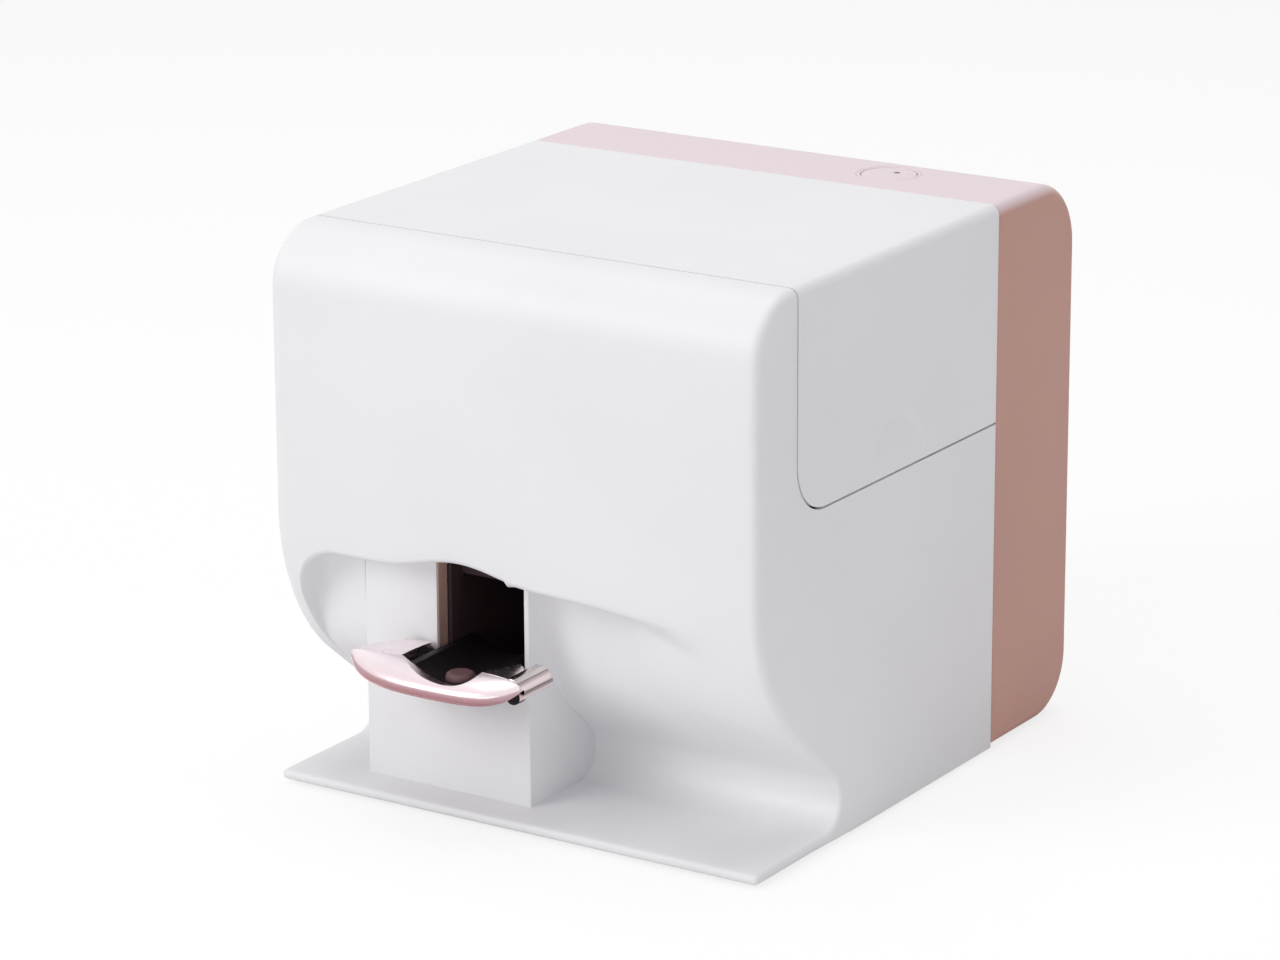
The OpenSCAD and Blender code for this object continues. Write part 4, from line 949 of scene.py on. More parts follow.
def front_section(recess, x, share):
    """Stations of the front shell at x, from under the base plate up to the cover's front seam;
    share says how deep the recess is there, from 0 to 1."""
    curve, r = recess.front, recess.sizes
    s = curve.sizes
    thin, full = s.plate_edge, s.edge
    top = curve.plate_top
    least, fade = 0.0004, 0.024
    rows = [(depth, FLOOR, 0.0, -1.0, least + (thin - least) * eased((PAN_DEPTH - depth) / fade))
            for depth in along(PAN_DEPTH, thin, 14, 0)]
    rows += arc((thin, FLOOR + thin), thin, 270, 180, 4, thin)[1:]
    rows += arc((thin, top - thin), thin, 180, 90, 4, thin)
    rows += straight((thin, top), (s.fillet_depth, top), 12, (0.0, 1.0), thin)
    rows += arc(curve.fillet_centre, s.fillet, -90, degrees(curve.lean), 12, thin, hollow=True)[1:]

    def edge_at(z):
        """The side edges are sharper low down."""
        return thin + (full - thin) * eased((z - 0.016) / 0.05)

    def add(z, full_depth, full_z):
        """A station between the plain front and the fully deep recess."""
        depth, ny, nz = curve.at(z)
        rows.append((depth + (full_depth - depth) * share, z + (full_z - z) * share, ny, nz, edge_at(z)))

    brow = recess.brow(x)
    low, lip, inner = rows[-1][1], r.lip, r.ceiling
    for t in along(0.0, 1.0, 26):
        flat_z = low + (brow - ROUNDING_START - low) * t
        full_z = low + (brow - inner - low) * t
        ramp = eased((full_z - RAMP_LOW) / (RAMP_HIGH - RAMP_LOW))
        base = curve.at(full_z)[0]
        add(flat_z, base + ramp * (recess.floor(x, full_z) - base), full_z)
    back = recess.floor(x, brow - inner)
    for t in along(0.0, 1.0, 7):
        a = pi / 2 * t
        add(brow - ROUNDING_START + (ROUNDING_START - CEILING_START) * t, back - inner + inner * cos(a),
            brow - inner + inner * sin(a))
    edge_depth = curve.at(brow + lip)[0]
    for t in along(0.0, 1.0, 7):
        add(brow - CEILING_START + (CEILING_START - LIP_START) * t,
            back - inner + (edge_depth + lip - back + inner) * t, brow)
    for t in along(0.0, 1.0, 8):
        a = pi / 2 * t
        add(brow - LIP_START + (LIP_START + lip) * t, edge_depth + lip - lip * sin(a),
            brow + lip - lip * cos(a))
    for z in along(brow + lip, s.curve_top, 8):
        depth, ny, nz = curve.at(z)
        rows.append((depth, z, ny, nz, full))
    rows += straight((0.0, s.curve_top), (0.0, HEIGHT - s.front_top), 10, (-1.0, 0.0), full)
    rows += arc((s.front_top, HEIGHT - s.front_top), s.front_top, 180, 90, 16, full)[1:]
    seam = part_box("top_cover")[0].y - FRONT - s.gap
    rows += straight((s.front_top, HEIGHT), (seam, HEIGHT), 2, (0.0, 1.0), full)
    return rows


EDGE_STEPS = 7


def edged(rows, side, t):
    """A column on the rounded side edge; t runs from 0 at the front to 1 at the side."""
    a = pi / 2 * t
    column = []
    for depth, z, ny, nz, edge in rows:
        inward = edge * (1 - cos(a))
        x = side * (HALF_WIDTH - edge + edge * sin(a))
        column.append(place(x, depth - ny * inward, z - nz * inward))
    return column


def side_panel(bm, outline, side):
    """Flat side wall inside a closed outline of (depth, z), with a narrow border that keeps the
    shading of the rounded edges off it."""
    points = [place(side * HALF_WIDTH, depth, z) for depth, z in outline]
    if side > 0:
        points.reverse()
    panel = bm.faces.new([bm.verts.new(point) for point in points])
    bmesh.ops.inset_individual(bm, faces=[panel], thickness=0.0007, use_even_offset=True)


def shell(bm, name, thickness, rounding):
    """A closed shell from an open outer skin, with its rims rounded."""
    bmesh.ops.remove_doubles(bm, verts=bm.verts, dist=2e-6)
    obj = solid(name, bm)
    modified(obj, "SOLIDIFY", thickness=thickness, offset=-1.0, use_even_offset=True,
             use_quality_normals=True)
    return smooth(bevelled(obj, rounding, 3, 55.0))


class Builder:
    """What the operators share."""

    bl_options = {"REGISTER", "UNDO"}


class NAILPRINTER_OT_front_housing(Builder, bpy.types.Operator):
    """White shell: front, hand recess, base plate and lower side walls"""

    bl_idname = "nailprinter.front_housing"
    bl_label = "Front housing"

    def columns(self, recess):
        """Places across the recess: x and the share of the full depth."""
        r = recess.sizes
        lip = 0.0012
        places = []
        for t in along(0.0, 1.0, 6, 0):
            a = pi / 2 * t
            places.append((recess.left - lip + lip * sin(a), lip * (1 - cos(a)) / r.depth))
        for t in along(0.0, 1.0, 16):
            x = recess.left + r.corner * (1 - cos(pi / 2 * t))
            places.append((x, max(places[-1][1], recess.share(x))))
        block_low, block_high = recess.block
        inset = 0.0007
        across = [block_low + inset] + along(block_low + inset, block_high - inset, 22)
        places += [(x, 1.0) for x in across]
        blend = [block_high + r.blend * t ** 1.4 for t in along(0.0, 1.0, 9, 0)]
        fade = along(block_high + r.blend, recess.right, 34)
        places += [(x, recess.share(x)) for x in blend + fade]
        return places

    def execute(self, context):
        sizes = settings().casing
        curve = FrontCurve(sizes)
        recess = Recess(curve, settings().recess)
        plain = front_section(recess, -HALF_WIDTH, 0.0)
        columns = [edged(plain, -1, t) for t in along(1.0, 0.0, EDGE_STEPS, 0)]
        inner = self.columns(recess)
        for x, share in inner:
            rows = front_section(recess, x, share)
            columns.append([place(x, depth, z) for depth, z, *_ in rows])
        plain_right = front_section(recess, HALF_WIDTH, 0.0)
        columns += [edged(plain_right, 1, t) for t in along(0.0, 1.0, EDGE_STEPS, 0)]
        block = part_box("port_block")

        def keep(i, j):
            """Leaves out what the port block hides."""
            corners = [columns[i + a][j + b] for a in (0, 1) for b in (0, 1)]
            return not all(
                block[0].x < p.x < block[1].x and p.y > block[0].y + 0.0015
                and curve.plate_top + 0.004 < p.z < block[1].z + 0.004 for p in corners)

        bm = bmesh.new()
        loft(bm, columns, keep=keep)
        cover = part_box("top_cover")
        gap = sizes.gap
        front_seam = cover[0].y - FRONT - gap
        low_seam = cover[0].z - gap
        corner = sizes.cover_corner + gap
        for side, column in ((-1, columns[0]), (1, columns[-1])):
            outline = [(p.y - FRONT, p.z) for p in column]
            for depth, z, *_ in arc((front_seam + corner, low_seam + corner), corner, 180, 270, 12, 0.0):
                outline.append((depth, z))
            outline += [(SEAM_DEPTH, low_seam), (SEAM_DEPTH, FLOOR), (PAN_DEPTH + 0.0005, FLOOR)]
            side_panel(bm, outline, side)
        housing = shell(bm, "front_housing_shell", sizes.shell, sizes.seam)
        for v in housing.data.vertices:
            v.co.x = max(-HALF_WIDTH, min(HALF_WIDTH, v.co.x))
        dressed(housing, "casing", "white_shell", "front_housing")
        return {"FINISHED"}


class NAILPRINTER_OT_top_cover(Builder, bpy.types.Operator):
    """Lift-off cover with its side skirts and finger dimples"""

    bl_idname = "nailprinter.top_cover"
    bl_label = "Lift-off cover"

    def execute(self, context):
        s = settings().casing
        low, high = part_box("top_cover")
        start, end = low.y - FRONT, high.y - FRONT
        corner = s.cover_corner
        centre = ((start + end) / 2, low.z + 0.0030)

        def skirt_x(depth, z):
            """Half width of the cover; the dimple fades out above its lower edge."""
            hem, fade = 0.0008, 0.0065
            reach = hypot(depth - centre[0], z - centre[1])
            sunk = eased((s.dimple - reach) / s.dimple_rim) * s.dimple_depth
            return HALF_WIDTH - eased((z - low.z - hem) / fade) * sunk

        finer = s.dimple + 0.002
        depths = [start + corner * (1 - cos(pi / 2 * t)) for t in along(0.0, 1.0, 12, 0)]
        depths += along(start + corner, centre[0] - finer, 14)
        depths += along(centre[0] - finer, centre[0] + finer, 48)
        depths += along(centre[0] + finer, end, 24)
        columns = []
        for depth in depths:
            short = max(0.0, start + corner - depth)
            foot = low.z + corner - sqrt(max(0.0, corner ** 2 - short ** 2))
            heights = [foot + (HEIGHT - s.edge - foot) * t ** 1.5 for t in along(0.0, 1.0, 70, 0)]
            column = [place(skirt_x(depth, z), depth, z) for z in heights]
            for t in along(0.0, 1.0, EDGE_STEPS):
                a = pi / 2 * t
                column.append(place(HALF_WIDTH - s.edge + s.edge * cos(a), depth,
                                    HEIGHT - s.edge + s.edge * sin(a)))
            mirrored = [Vector((-p.x, p.y, p.z)) for p in reversed(column)]
            across = [place(x, depth, HEIGHT) for x in along(column[-1].x, mirrored[0].x, 12)]
            columns.append(column + across[:-1] + mirrored)
        bm = bmesh.new()
        loft(bm, columns)
        cover = shell(bm, "top_cover_shell", s.shell, s.seam)
        dressed(cover, "cover", "white_shell", "top_cover")
        return {"FINISHED"}


class NAILPRINTER_OT_rear_cover(Builder, bpy.types.Operator):
    """Tinted rear cover with the openings for the button, the inlet and the screws"""

    bl_idname = "nailprinter.rear_cover"
    bl_label = "Rear cover"

    def drill(self):
        """Cutter for the openings; each one is a little wider where it comes out."""
        button, inlet = middle("button_ring"), middle("dc_inlet")
        ring_low, ring_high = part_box("button_ring")
        low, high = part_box("rear_screws")
        chamfer, past = 0.0003, 0.004
        holes = [(inlet.x, inlet.z, INLET_HOLE)]
        holes += [(x, z, SCREW_HOLE) for x in (low.x + SCREW_HEAD, high.x - SCREW_HEAD)
                  for z in (low.z + SCREW_HEAD, high.z - SCREW_HEAD)]
        spots = [(Vector((button.x, button.y, HEIGHT)), (ring_high.x - ring_low.x) / 2, "Z", 64)]
        spots += [(place(x, DEPTH, z), hole, "Y", 32) for x, z, hole in holes]
        bm = bmesh.new()
        for spot, radius, axis, steps in spots:
            turned(bm, [(0.0, -past), (radius, -past), (radius, -chamfer), (radius + 0.7 * chamfer, 0.0),
                        (radius + chamfer, past), (0.0, past)], spot, axis, steps)
        return solid("drill", bm)

    def execute(self, context):
        s = settings().casing
        lower, upper = s.rear_bottom, s.rear_top
        rows = [(REAR_DEPTH, FLOOR, 0.0, -1.0, s.edge)]
        rows += straight((REAR_DEPTH, FLOOR), (DEPTH - lower, FLOOR), 8, (0.0, -1.0), s.edge)
        rows += arc((DEPTH - lower, FLOOR + lower), lower, -90, 0, 18, s.edge)[1:]
        rows += straight((DEPTH, FLOOR + lower), (DEPTH, HEIGHT - upper), 60, (1.0, 0.0), s.edge)
        rows += arc((DEPTH - upper, HEIGHT - upper), upper, 0, 90, 18, s.edge)[1:]
        rows += straight((DEPTH - upper, HEIGHT), (REAR_DEPTH, HEIGHT), 16, (0.0, 1.0), s.edge)
        columns = [edged(rows, 1, t) for t in along(1.0, 0.0, EDGE_STEPS, 0)]
        inner = HALF_WIDTH - s.edge
        for x in along(inner, -inner, 80)[:-1]:
            columns.append([place(x, depth, z) for depth, z, *_ in rows])
        columns += [edged(rows, -1, t) for t in along(0.0, 1.0, EDGE_STEPS, 0)]
        bm = bmesh.new()
        loft(bm, columns)
        for side, column in ((1, columns[0]), (-1, columns[-1])):
            outline = [(p.y - FRONT, p.z) for p in column]
            outline.reverse()
            side_panel(bm, outline, side)
        bmesh.ops.remove_doubles(bm, verts=bm.verts, dist=2e-6)
        heart = place(0, DEPTH - upper, HEIGHT / 2)
        bm.normal_update()
        for face in bm.faces:
            if face.normal.dot(face.calc_center_median() - heart) < 0:
                face.normal_flip()
        cover = smooth(cut(shell(bm, "rear_cover_shell", s.shell, s.seam), self.drill()))
        dressed(cover, "casing", "pink_shell", "rear_cover")
        return {"FINISHED"}


class NAILPRINTER_OT_port_block(Builder, bpy.types.Operator):
    """Block that carries the finger port, the port's lining and the dark tunnel behind it"""

    bl_idname = "nailprinter.port_block"
    bl_label = "Port block"

    def front(self):
        """The block, a little narrower on the left, so that the casing's outline shows beside it."""
        narrower = 0.0012
        bm = merged("port_block")
        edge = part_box("port_block")[0].x
        for v in bm.verts:
            if v.co.x < edge + 0.0002:
                v.co.x += narrower
        dressed(softened("port_block_front", bm, 0.0006, 4), "casing", "white_shell", "port_block")

    def lining(self):
        """Film inside the mouth of the port."""
        sill, head = 0.0318, 0.0723
        start, deep, radius, film = 0.0007, 0.0043, 0.0008, 0.0003
        foot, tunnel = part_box("port_block")[0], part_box("finger_tunnel")
        centre = middle("finger_tunnel").x
        half = (tunnel[1].x - tunnel[0].x) / 2 + 0.0001
        low, high = foot.z + sill + 0.0001, foot.z + head - 0.0002
        ring = []
        for sx, sz, first in ((1, 1, 0), (-1, 1, 90), (-1, -1, 180), (1, -1, 270)):
            x = centre + sx * (half - radius)
            z = (high if sz > 0 else low) - sz * radius
            ring += [(x + radius * cos(radians(first + a)), z + radius * sin(radians(first + a)))
                     for a in range(0, 105, 15)]
        depths = [foot.y - FRONT + start + deep * t for t in along(0.0, 1.0, 8, 0)]
        bm = bmesh.new()
        loft(bm, [[place(x, depth, z) for depth in depths] for x, z in ring], closed=True)
        bmesh.ops.recalc_face_normals(bm, faces=bm.faces)
        lining = solid("port_lining", bm)
        modified(lining, "SOLIDIFY", thickness=film, offset=0.0, use_even_offset=True)
        dressed(smooth(baked(lining)), "casing", "pink_shell", look="port_film")

    def execute(self, context):
        self.front()
        self.lining()
        machined("finger_tunnel", 0.0005, 3, "tunnel_wall")
        return {"FINISHED"}


# ---- finger lever ----


def spline_point(near, t):
    """Point between the second and third of four points on a smooth curve."""
    a, b, c, d = near
    return 0.5 * (2 * b + (c - a) * t + (2 * a - 5 * b + 4 * c - d) * t ** 2
                  + (3 * b - 3 * c + d - a) * t ** 3)


def spline(points, steps):
    """Smooth closed curve through points, as many steps between each two."""
    count = len(points)
    result = []
    for i in range(count):
        near = [Vector(points[(i + k) % count]) for k in (-1, 0, 1, 2)]
        result += [spline_point(near, step / steps) for step in range(steps)]
    return result


# The notch's edge from left to right: distance from the port's centre and height over the ridge.
NOTCH = ((-0.0146, 0.0005), (-0.0111, -0.0012), (-0.0073, -0.0031), (-0.0028, -0.0048), (0.0013, -0.0056),
         (0.0052, -0.0059), (0.0086, -0.0054), (0.0107, -0.0045), (0.0123, -0.0031), (0.0133, -0.0014),
         (0.0140, 0.0002))

# Cross-section of an arm: distance outwards from its outer side and height over its top.
ARM = ((-0.0052, 0.0), (-0.0030, 0.0), (-0.0018, -0.0009), (-0.0021, -0.0013), (-0.0011, -0.0019),
       (-0.0001, -0.0034), (-0.0005, -0.0037), (0.0002, -0.0042), (0.0002, -0.0051),
       (-0.0010, -0.0061), (-0.0052, -0.0061))
ARM_MIDDLE = (-0.0026, -0.0031)
SIDES = {-1: "left", 1: "right"}


class NAILPRINTER_OT_finger_lever(Builder, bpy.types.Operator):
    """Rose crescent, dark cradle, soft pad and the carrier under them"""

    bl_idname = "nailprinter.finger_lever"
    bl_label = "Finger lever"

    def section(self, s, u):
        """Cross-section of the crescent at u, from -1 at the left tip to 1 at the right tip."""
        wide = s.notch / 2 / s.half_width
        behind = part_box("lever_handle")[1].y - FRONT
        front = -s.reach + (s.reach - s.tip_reach) * abs(u) ** (2.5 if u < 0 else 4.5)
        past = max(0.0, (abs(u) - wide) / (1 - wide))
        ridge_z = s.ridge - (0.0011 if u < 0 else 0.0017) * abs(u) ** 6
        back = s.tip_back + (behind - s.tip_back) * (1 - past ** 1.8)
        low = s.low + 0.0012 * u ** 2 + 0.0034 * abs(u) ** 7
        height = ridge_z - low
        ridge = max(s.ridge_depth, front + 0.0004)
        slope = ridge - front
        drop = 0.0016 * (1 - past) if u < 0 else 0.0016 + 0.0022 * past
        return [(ridge, ridge_z),
                (front + 0.64 * slope, low + 0.86 * height),
                (front + 0.28 * slope, low + 0.66 * height),
                (front + 0.04 * slope, low + 0.43 * height),
                (front + 0.03 * slope, low + 0.22 * height),
                (front + 0.18 * slope, low + 0.04 * height),
                (front + 0.55 * slope, low),
                (back - 0.0004, low + 0.20 * height),
                (back, ridge_z - drop - 0.10 * height),
                (back - 0.0006, ridge_z - drop),
                (ridge + 0.5 * (back - ridge), ridge_z - (0.4 if u < 0 else 0.55) * drop),
                (ridge + 0.0008, ridge_z - 0.0001)]

    def arm(self, s, side):
        """Grooved arm that runs back from the crescent beside the port block."""
        sink, start, end, dome = 0.0010, -0.0056, 0.0088, 0.0022
        centre = middle("lever_handle").x
        middle_x, middle_z = ARM_MIDDLE
        stops = [(depth, 1.0) for depth in along(start, end, 10, 0)]
        stops += [(end + dome * sin(a), cos(a) ** 0.7) for a in along(0.0, pi / 2, 6)]
        rings = [[place(centre + side * (s.arm + middle_x + (x - middle_x) * scale), depth,
                        s.ridge - sink + middle_z + (z - middle_z) * scale) for x, z in ARM]
                 for depth, scale in stops]
        bm = bmesh.new()
        rows = loft(bm, [ring + ring[:1] for ring in rings])
        bmesh.ops.remove_doubles(bm, verts=bm.verts, dist=1e-6)
        bm.faces.new([v for v in rows[0] if v.is_valid])
        bmesh.ops.recalc_face_normals(bm, faces=bm.faces)
        obj = bevelled(solid(f"lever_arm_{SIDES[side]}", bm), 0.00025, 2, 20.0)
        dressed(smooth(obj, 25.0), "finger_lever", "rose_metal", look="painted_shade_arm_metal")

    def dark_peg(self, s, side):
        """Dark round peg under the front end of an arm."""
        spot = place(middle("lever_handle").x + side * (s.arm - 0.0034), 0.0, s.ridge - 0.0063)
        bm = bmesh.new()
        turned(bm, [(0.0, -0.0064), (0.0017, -0.0064), (0.0023, -0.0058), (0.0023, -0.0022),
                    (0.0018, -0.0016), (0.0, -0.0016)], spot, "Y", 32)
        dressed(softened(f"lever_bumper_{SIDES[side]}", bm), "finger_lever", "dark_plastic")

    def trough(self, s, centre):
        """Hollow of the finger notch: an arc swept backwards and down, so that only its edge shows."""
        rim = [Vector((centre + x, 0.0, s.ridge + z)) for x, z in NOTCH]
        steps = 8
        curve = []
        for i in range(len(rim) - 1):
            near = [rim[min(max(i + k, 0), len(rim) - 1)] for k in (-1, 0, 1, 2)]
            curve += [spline_point(near, t) for t in along(0.0, 1.0 - 1.0 / steps, steps - 1, 0)]
        curve.append(rim[-1])
        curve += [curve[-1] + Vector((0.004, 0, 0.012)), curve[0] + Vector((-0.004, 0, 0.012))]
        back = Vector((0.0, 0.02, -0.02 * s.notch_slope))
        ahead = Vector((0.0, FRONT + s.ridge_depth, 0.0))
        bm = bmesh.new()
        rows = loft(bm, [[p + ahead - back, p + ahead + back] for p in curve], closed=True)
        for end in (0, 1):
            bm.faces.new([row[end] for row in rows])
        bmesh.ops.recalc_face_normals(bm, faces=bm.faces)
        return solid("notch_cutter", bm)

    def crescent(self, s):
        """The plated crescent with its notch and the seat behind it."""
        centre = middle("lever_handle").x
        end_start, end_size = 0.88, 0.55
        columns = []
        for t in along(-0.93, 0.93, 72, 0):
            u = sin(pi / 2 * t)
            outline = self.section(s, u)
            heart = [sum(values) / len(outline) for values in zip(*outline)]
            end = max(0.0, (abs(u) - end_start) / (1 - end_start))
            size = end_size + (1 - end_size) * sqrt(1 - end ** 2)
            x = centre + s.shift + s.half_width * u
            columns.append(spline([place(x, *(heart[i] + (point[i] - heart[i]) * size for i in (0, 1)))
                                   for point in outline], 6))
        bm = bmesh.new()
        rows = loft(bm, [column + column[:1] for column in columns])
        bmesh.ops.remove_doubles(bm, verts=bm.verts, dist=1e-7)
        for end in (0, -1):
            bm.faces.new([v for v in rows[end] if v.is_valid])
        bmesh.ops.recalc_face_normals(bm, faces=bm.faces)
        handle = solid("lever_handle_plated", bm)
        bm = bmesh.new()
        room = Vector((s.notch + 0.0012, 0.06, 0.06))
        heart = place(centre - 0.0005, s.ridge_depth + 0.0007 + room.y / 2, s.ridge)
        cuboid(bm, heart - room / 2, heart + room / 2)
        cut(handle, solid("seat_cutter", bm), self.trough(s, centre))
        dressed(smooth(bevelled(handle, 0.0003, 3, 35.0), 28.0), "finger_lever", "rose_metal",
                "lever_handle")

    def cradle(self, s):
        """The dark trough, cut back to the inside of the lip."""
        bm = merged("finger_cradle")
        limit = FRONT + s.ridge_depth + 0.0008
        for v in bm.verts:
            v.co.y = max(v.co.y, limit)
        bmesh.ops.remove_doubles(bm, verts=bm.verts, dist=2e-6)
        obj = softened("finger_cradle_look", bm, 0.0004, 3, 40.0)
        dressed(obj, "finger_lever", "dark_plastic", "finger_cradle")

    def cushion(self):
        """Domed silicone pad with a soft shoulder and a shallow dish on top."""
        low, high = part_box("finger_pad")
        radius = (high.x - low.x) / 2
        heart = (low + high) / 2
        profile = [(0.0, 0.94), (0.25, 0.955), (0.5, 0.985), (0.66, 1.0), (0.8, 0.96), (0.91, 0.82),
                   (0.975, 0.6), (1.0, 0.34), (0.99, 0.1), (0.95, 0.0), (0.5, 0.0), (0.0, 0.0)]
        bm = bmesh.new()
        turned(bm, [(radius * r, (high.z - low.z) * h) for r, h in profile],
               Vector((heart.x, heart.y, low.z)), steps=48)
        obj = solid("finger_pad_soft", bm)
        modified(obj, "SUBSURF", levels=1, render_levels=1)
        smooth(baked(obj), 180)
        dressed(obj, "finger_lever", "pink_pad", "finger_pad")

    def execute(self, context):
        s = settings().lever
        self.crescent(s)
        for side in (-1, 1):
            self.arm(s, side)
            self.dark_peg(s, side)
        self.cradle(s)
        self.cushion()
        machined("lever_carrier")
        return {"FINISHED"}


class NAILPRINTER_OT_power_button(Builder, bpy.types.Operator):
    """Power button, the ring round it and its lamp"""

    bl_idname = "nailprinter.power_button"
    bl_label = "Power button"

    def execute(self, context):
        machined("button_ring", 0.0003, 3)
        machined("power_button", 0.0004, 4)
        machined("status_lamp", 0.0001, 2)
        return {"FINISHED"}


class NAILPRINTER_OT_fasteners(Builder, bpy.types.Operator):
    """Rubber feet and the screws under and behind the casing"""

    bl_idname = "nailprinter.fasteners"
    bl_label = "Feet and screws"

    def screw(self, name, spot, axis, reach, outward):
        """Pan head with a cross recess; outward is the direction of its head along the axis."""
        head, deep, shank, slot, cross = SCREW_HEAD, 0.0015, 0.0015, 0.0007, 0.0034
        steps = [(0.0, 0.0), (head - 0.0006, 0.0), (head - 0.0002, 0.0003), (head, 0.0008), (head, deep),
                 (shank, deep), (shank, reach - 0.0012), (0.0004, reach), (0.0, reach)]
        bm = bmesh.new()
        turned(bm, [(r, -outward * h) for r, h in steps], spot, axis)
        obj = solid(name, bm)
        bm = bmesh.new()
        for long, wide in ((cross, slot), (slot, cross)):
            half = Vector((long, wide, 0.0016) if axis == "Z" else (long, 0.0016, wide)) / 2
            cuboid(bm, spot - half, spot + half)
        return cut(obj, solid("recess_cutter", bm))

    def feet(self):
        """Four rubber feet."""
        low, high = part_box("rubber_feet")
        radius = 0.0065
        rim = [(0.0, 0.0004), (0.0042, 0.0004), (0.0047, 0.0), (radius - 0.0004, 0.0),
               (radius, 0.0004), (radius, high.z), (0.0, high.z)]
        bm = bmesh.new()
        turned(bm, rim, Vector((low.x + radius, low.y + radius, 0.0)), steps=48)
        feet = softened("rubber_feet_rows", bm, 0.00015)
        span = high - low
        grid_of_copies(feet, "black_rubber", x=(2, (span.x - 2 * radius, 0, 0)),
                       y=(2, (0, span.y - 2 * radius, 0)))
        dressed(smooth(feet), "casing", "black_rubber", "rubber_feet")

    def screws(self, node, axis, x, y=1, z=1):
        """A node's screws in rows; the counts say how many stand along each direction."""
        low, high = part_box(node)
        span = high - low
        foot = Vector((low.x + SCREW_HEAD, low.y + SCREW_HEAD, low.z))
        reach, outward = span.z, -1
        if axis == "Y":
            foot = Vector((low.x + SCREW_HEAD, high.y, low.z + SCREW_HEAD))
            reach, outward = span.y, 1
        screws = self.screw(f"{node}_rows", foot, axis, reach, outward)
        steps = {}
        for i, (name, count) in enumerate((("x", x), ("y", y), ("z", z))):
            step = Vector()
            step[i] = (span[i] - 2 * SCREW_HEAD) / max(1, count - 1)
            steps[name] = (count, tuple(step))
        grid_of_copies(screws, "screw_steel", **steps)
        dressed(smooth(screws), "casing", "screw_steel", node)

    def execute(self, context):
        self.feet()
        self.screws("base_screws", "Z", x=3, y=2)
        self.screws("rear_screws", "Y", x=2, z=2)
        return {"FINISHED"}


class NAILPRINTER_OT_light_panel(Builder, bpy.types.Operator):
    """Rows of lamps over the finger"""

    bl_idname = "nailprinter.light_panel"
    bl_label = "Light panel"

    def execute(self, context):
        low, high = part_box("light_emitters")
        side, lens, bulge, near = 0.0035, 0.0012, 0.0003, 0.008
        size = Vector((side, side, high.z - low.z))
        span = high - low - size
        bm = bmesh.new()
        cuboid(bm, low + Vector((0, 0, bulge)), low + size)
        turned(bm, [(0.0, 0.0), (lens, 0.0), (lens + 0.00005, bulge + 0.0001), (0.0, bulge + 0.0001)],
               low + Vector((side / 2, side / 2, 0.0)), steps=20)
        lamps = softened("light_emitters_rows", bm, 0.00012)
        # Two lamps side by side, three rows of them, and the same again on the far side.
        grid_of_copies(lamps, "lamp_white", x=(2, (near, 0, 0)), y=(3, (0, span.y / 2, 0)),
                       z=(2, (span.x - near, 0, 0)))
        dressed(smooth(lamps), "casing", "lamp_white", "light_emitters")
        return {"FINISHED"}


class NAILPRINTER_OT_control_board(Builder, bpy.types.Operator):
    """Chips with their legs and the finned heatsink on the main board"""

    bl_idname = "nailprinter.control_board"
    bl_label = "Control board"

    def heatsink(self):
        """Seven fins on a base plate."""
        low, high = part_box("driver_heatsink")
        pitch, thick, base = 0.0028, 0.0012, 0.0015
        bm = bmesh.new()
        cuboid(bm, low, (low.x + thick, high.y - base, high.z))
        fins = softened("driver_heatsink_fins", bm, 0.0003)
        grid_of_copies(fins, "cast_alloy", x=(7, (pitch, 0, 0)))
        dressed(smooth(fins), "casing", "cast_alloy", "driver_heatsink")
        bm = bmesh.new()
        cuboid(bm, (low.x, high.y - base - 0.0005, low.z), high)
        dressed(softened("driver_heatsink_base", bm), "casing", "cast_alloy")

    def legs(self, name, left, foot, wide, count):
        """Legs down both sides of a chip, from its left side, foot and width."""
        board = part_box("board_chips")[1].y
        long, thick, pitch = 0.0009, 0.0006, 0.0012
        bm = bmesh.new()
        cuboid(bm, (left - long, board - 0.0004, foot + 0.0008), (left, board, foot + 0.0008 + thick))
        legs = solid(name, bm)
        grid_of_copies(legs, "steel_rod", x=(2, (wide + long, 0, 0)), z=(count, (0, 0, pitch)))
        dressed(legs, "casing", "steel_rod")

    def execute(self, context):
        machined("board_chips")
        self.heatsink()
        self.legs("chip_legs_tall", 0.012, 0.034, 0.008, 14)
        self.legs("chip_legs_wide", 0.008, 0.060, 0.014, 11)
        return {"FINISHED"}


# Ends of both pulleys along Y.
BELT_FRONT, BELT_REAR = 0.017, 0.023


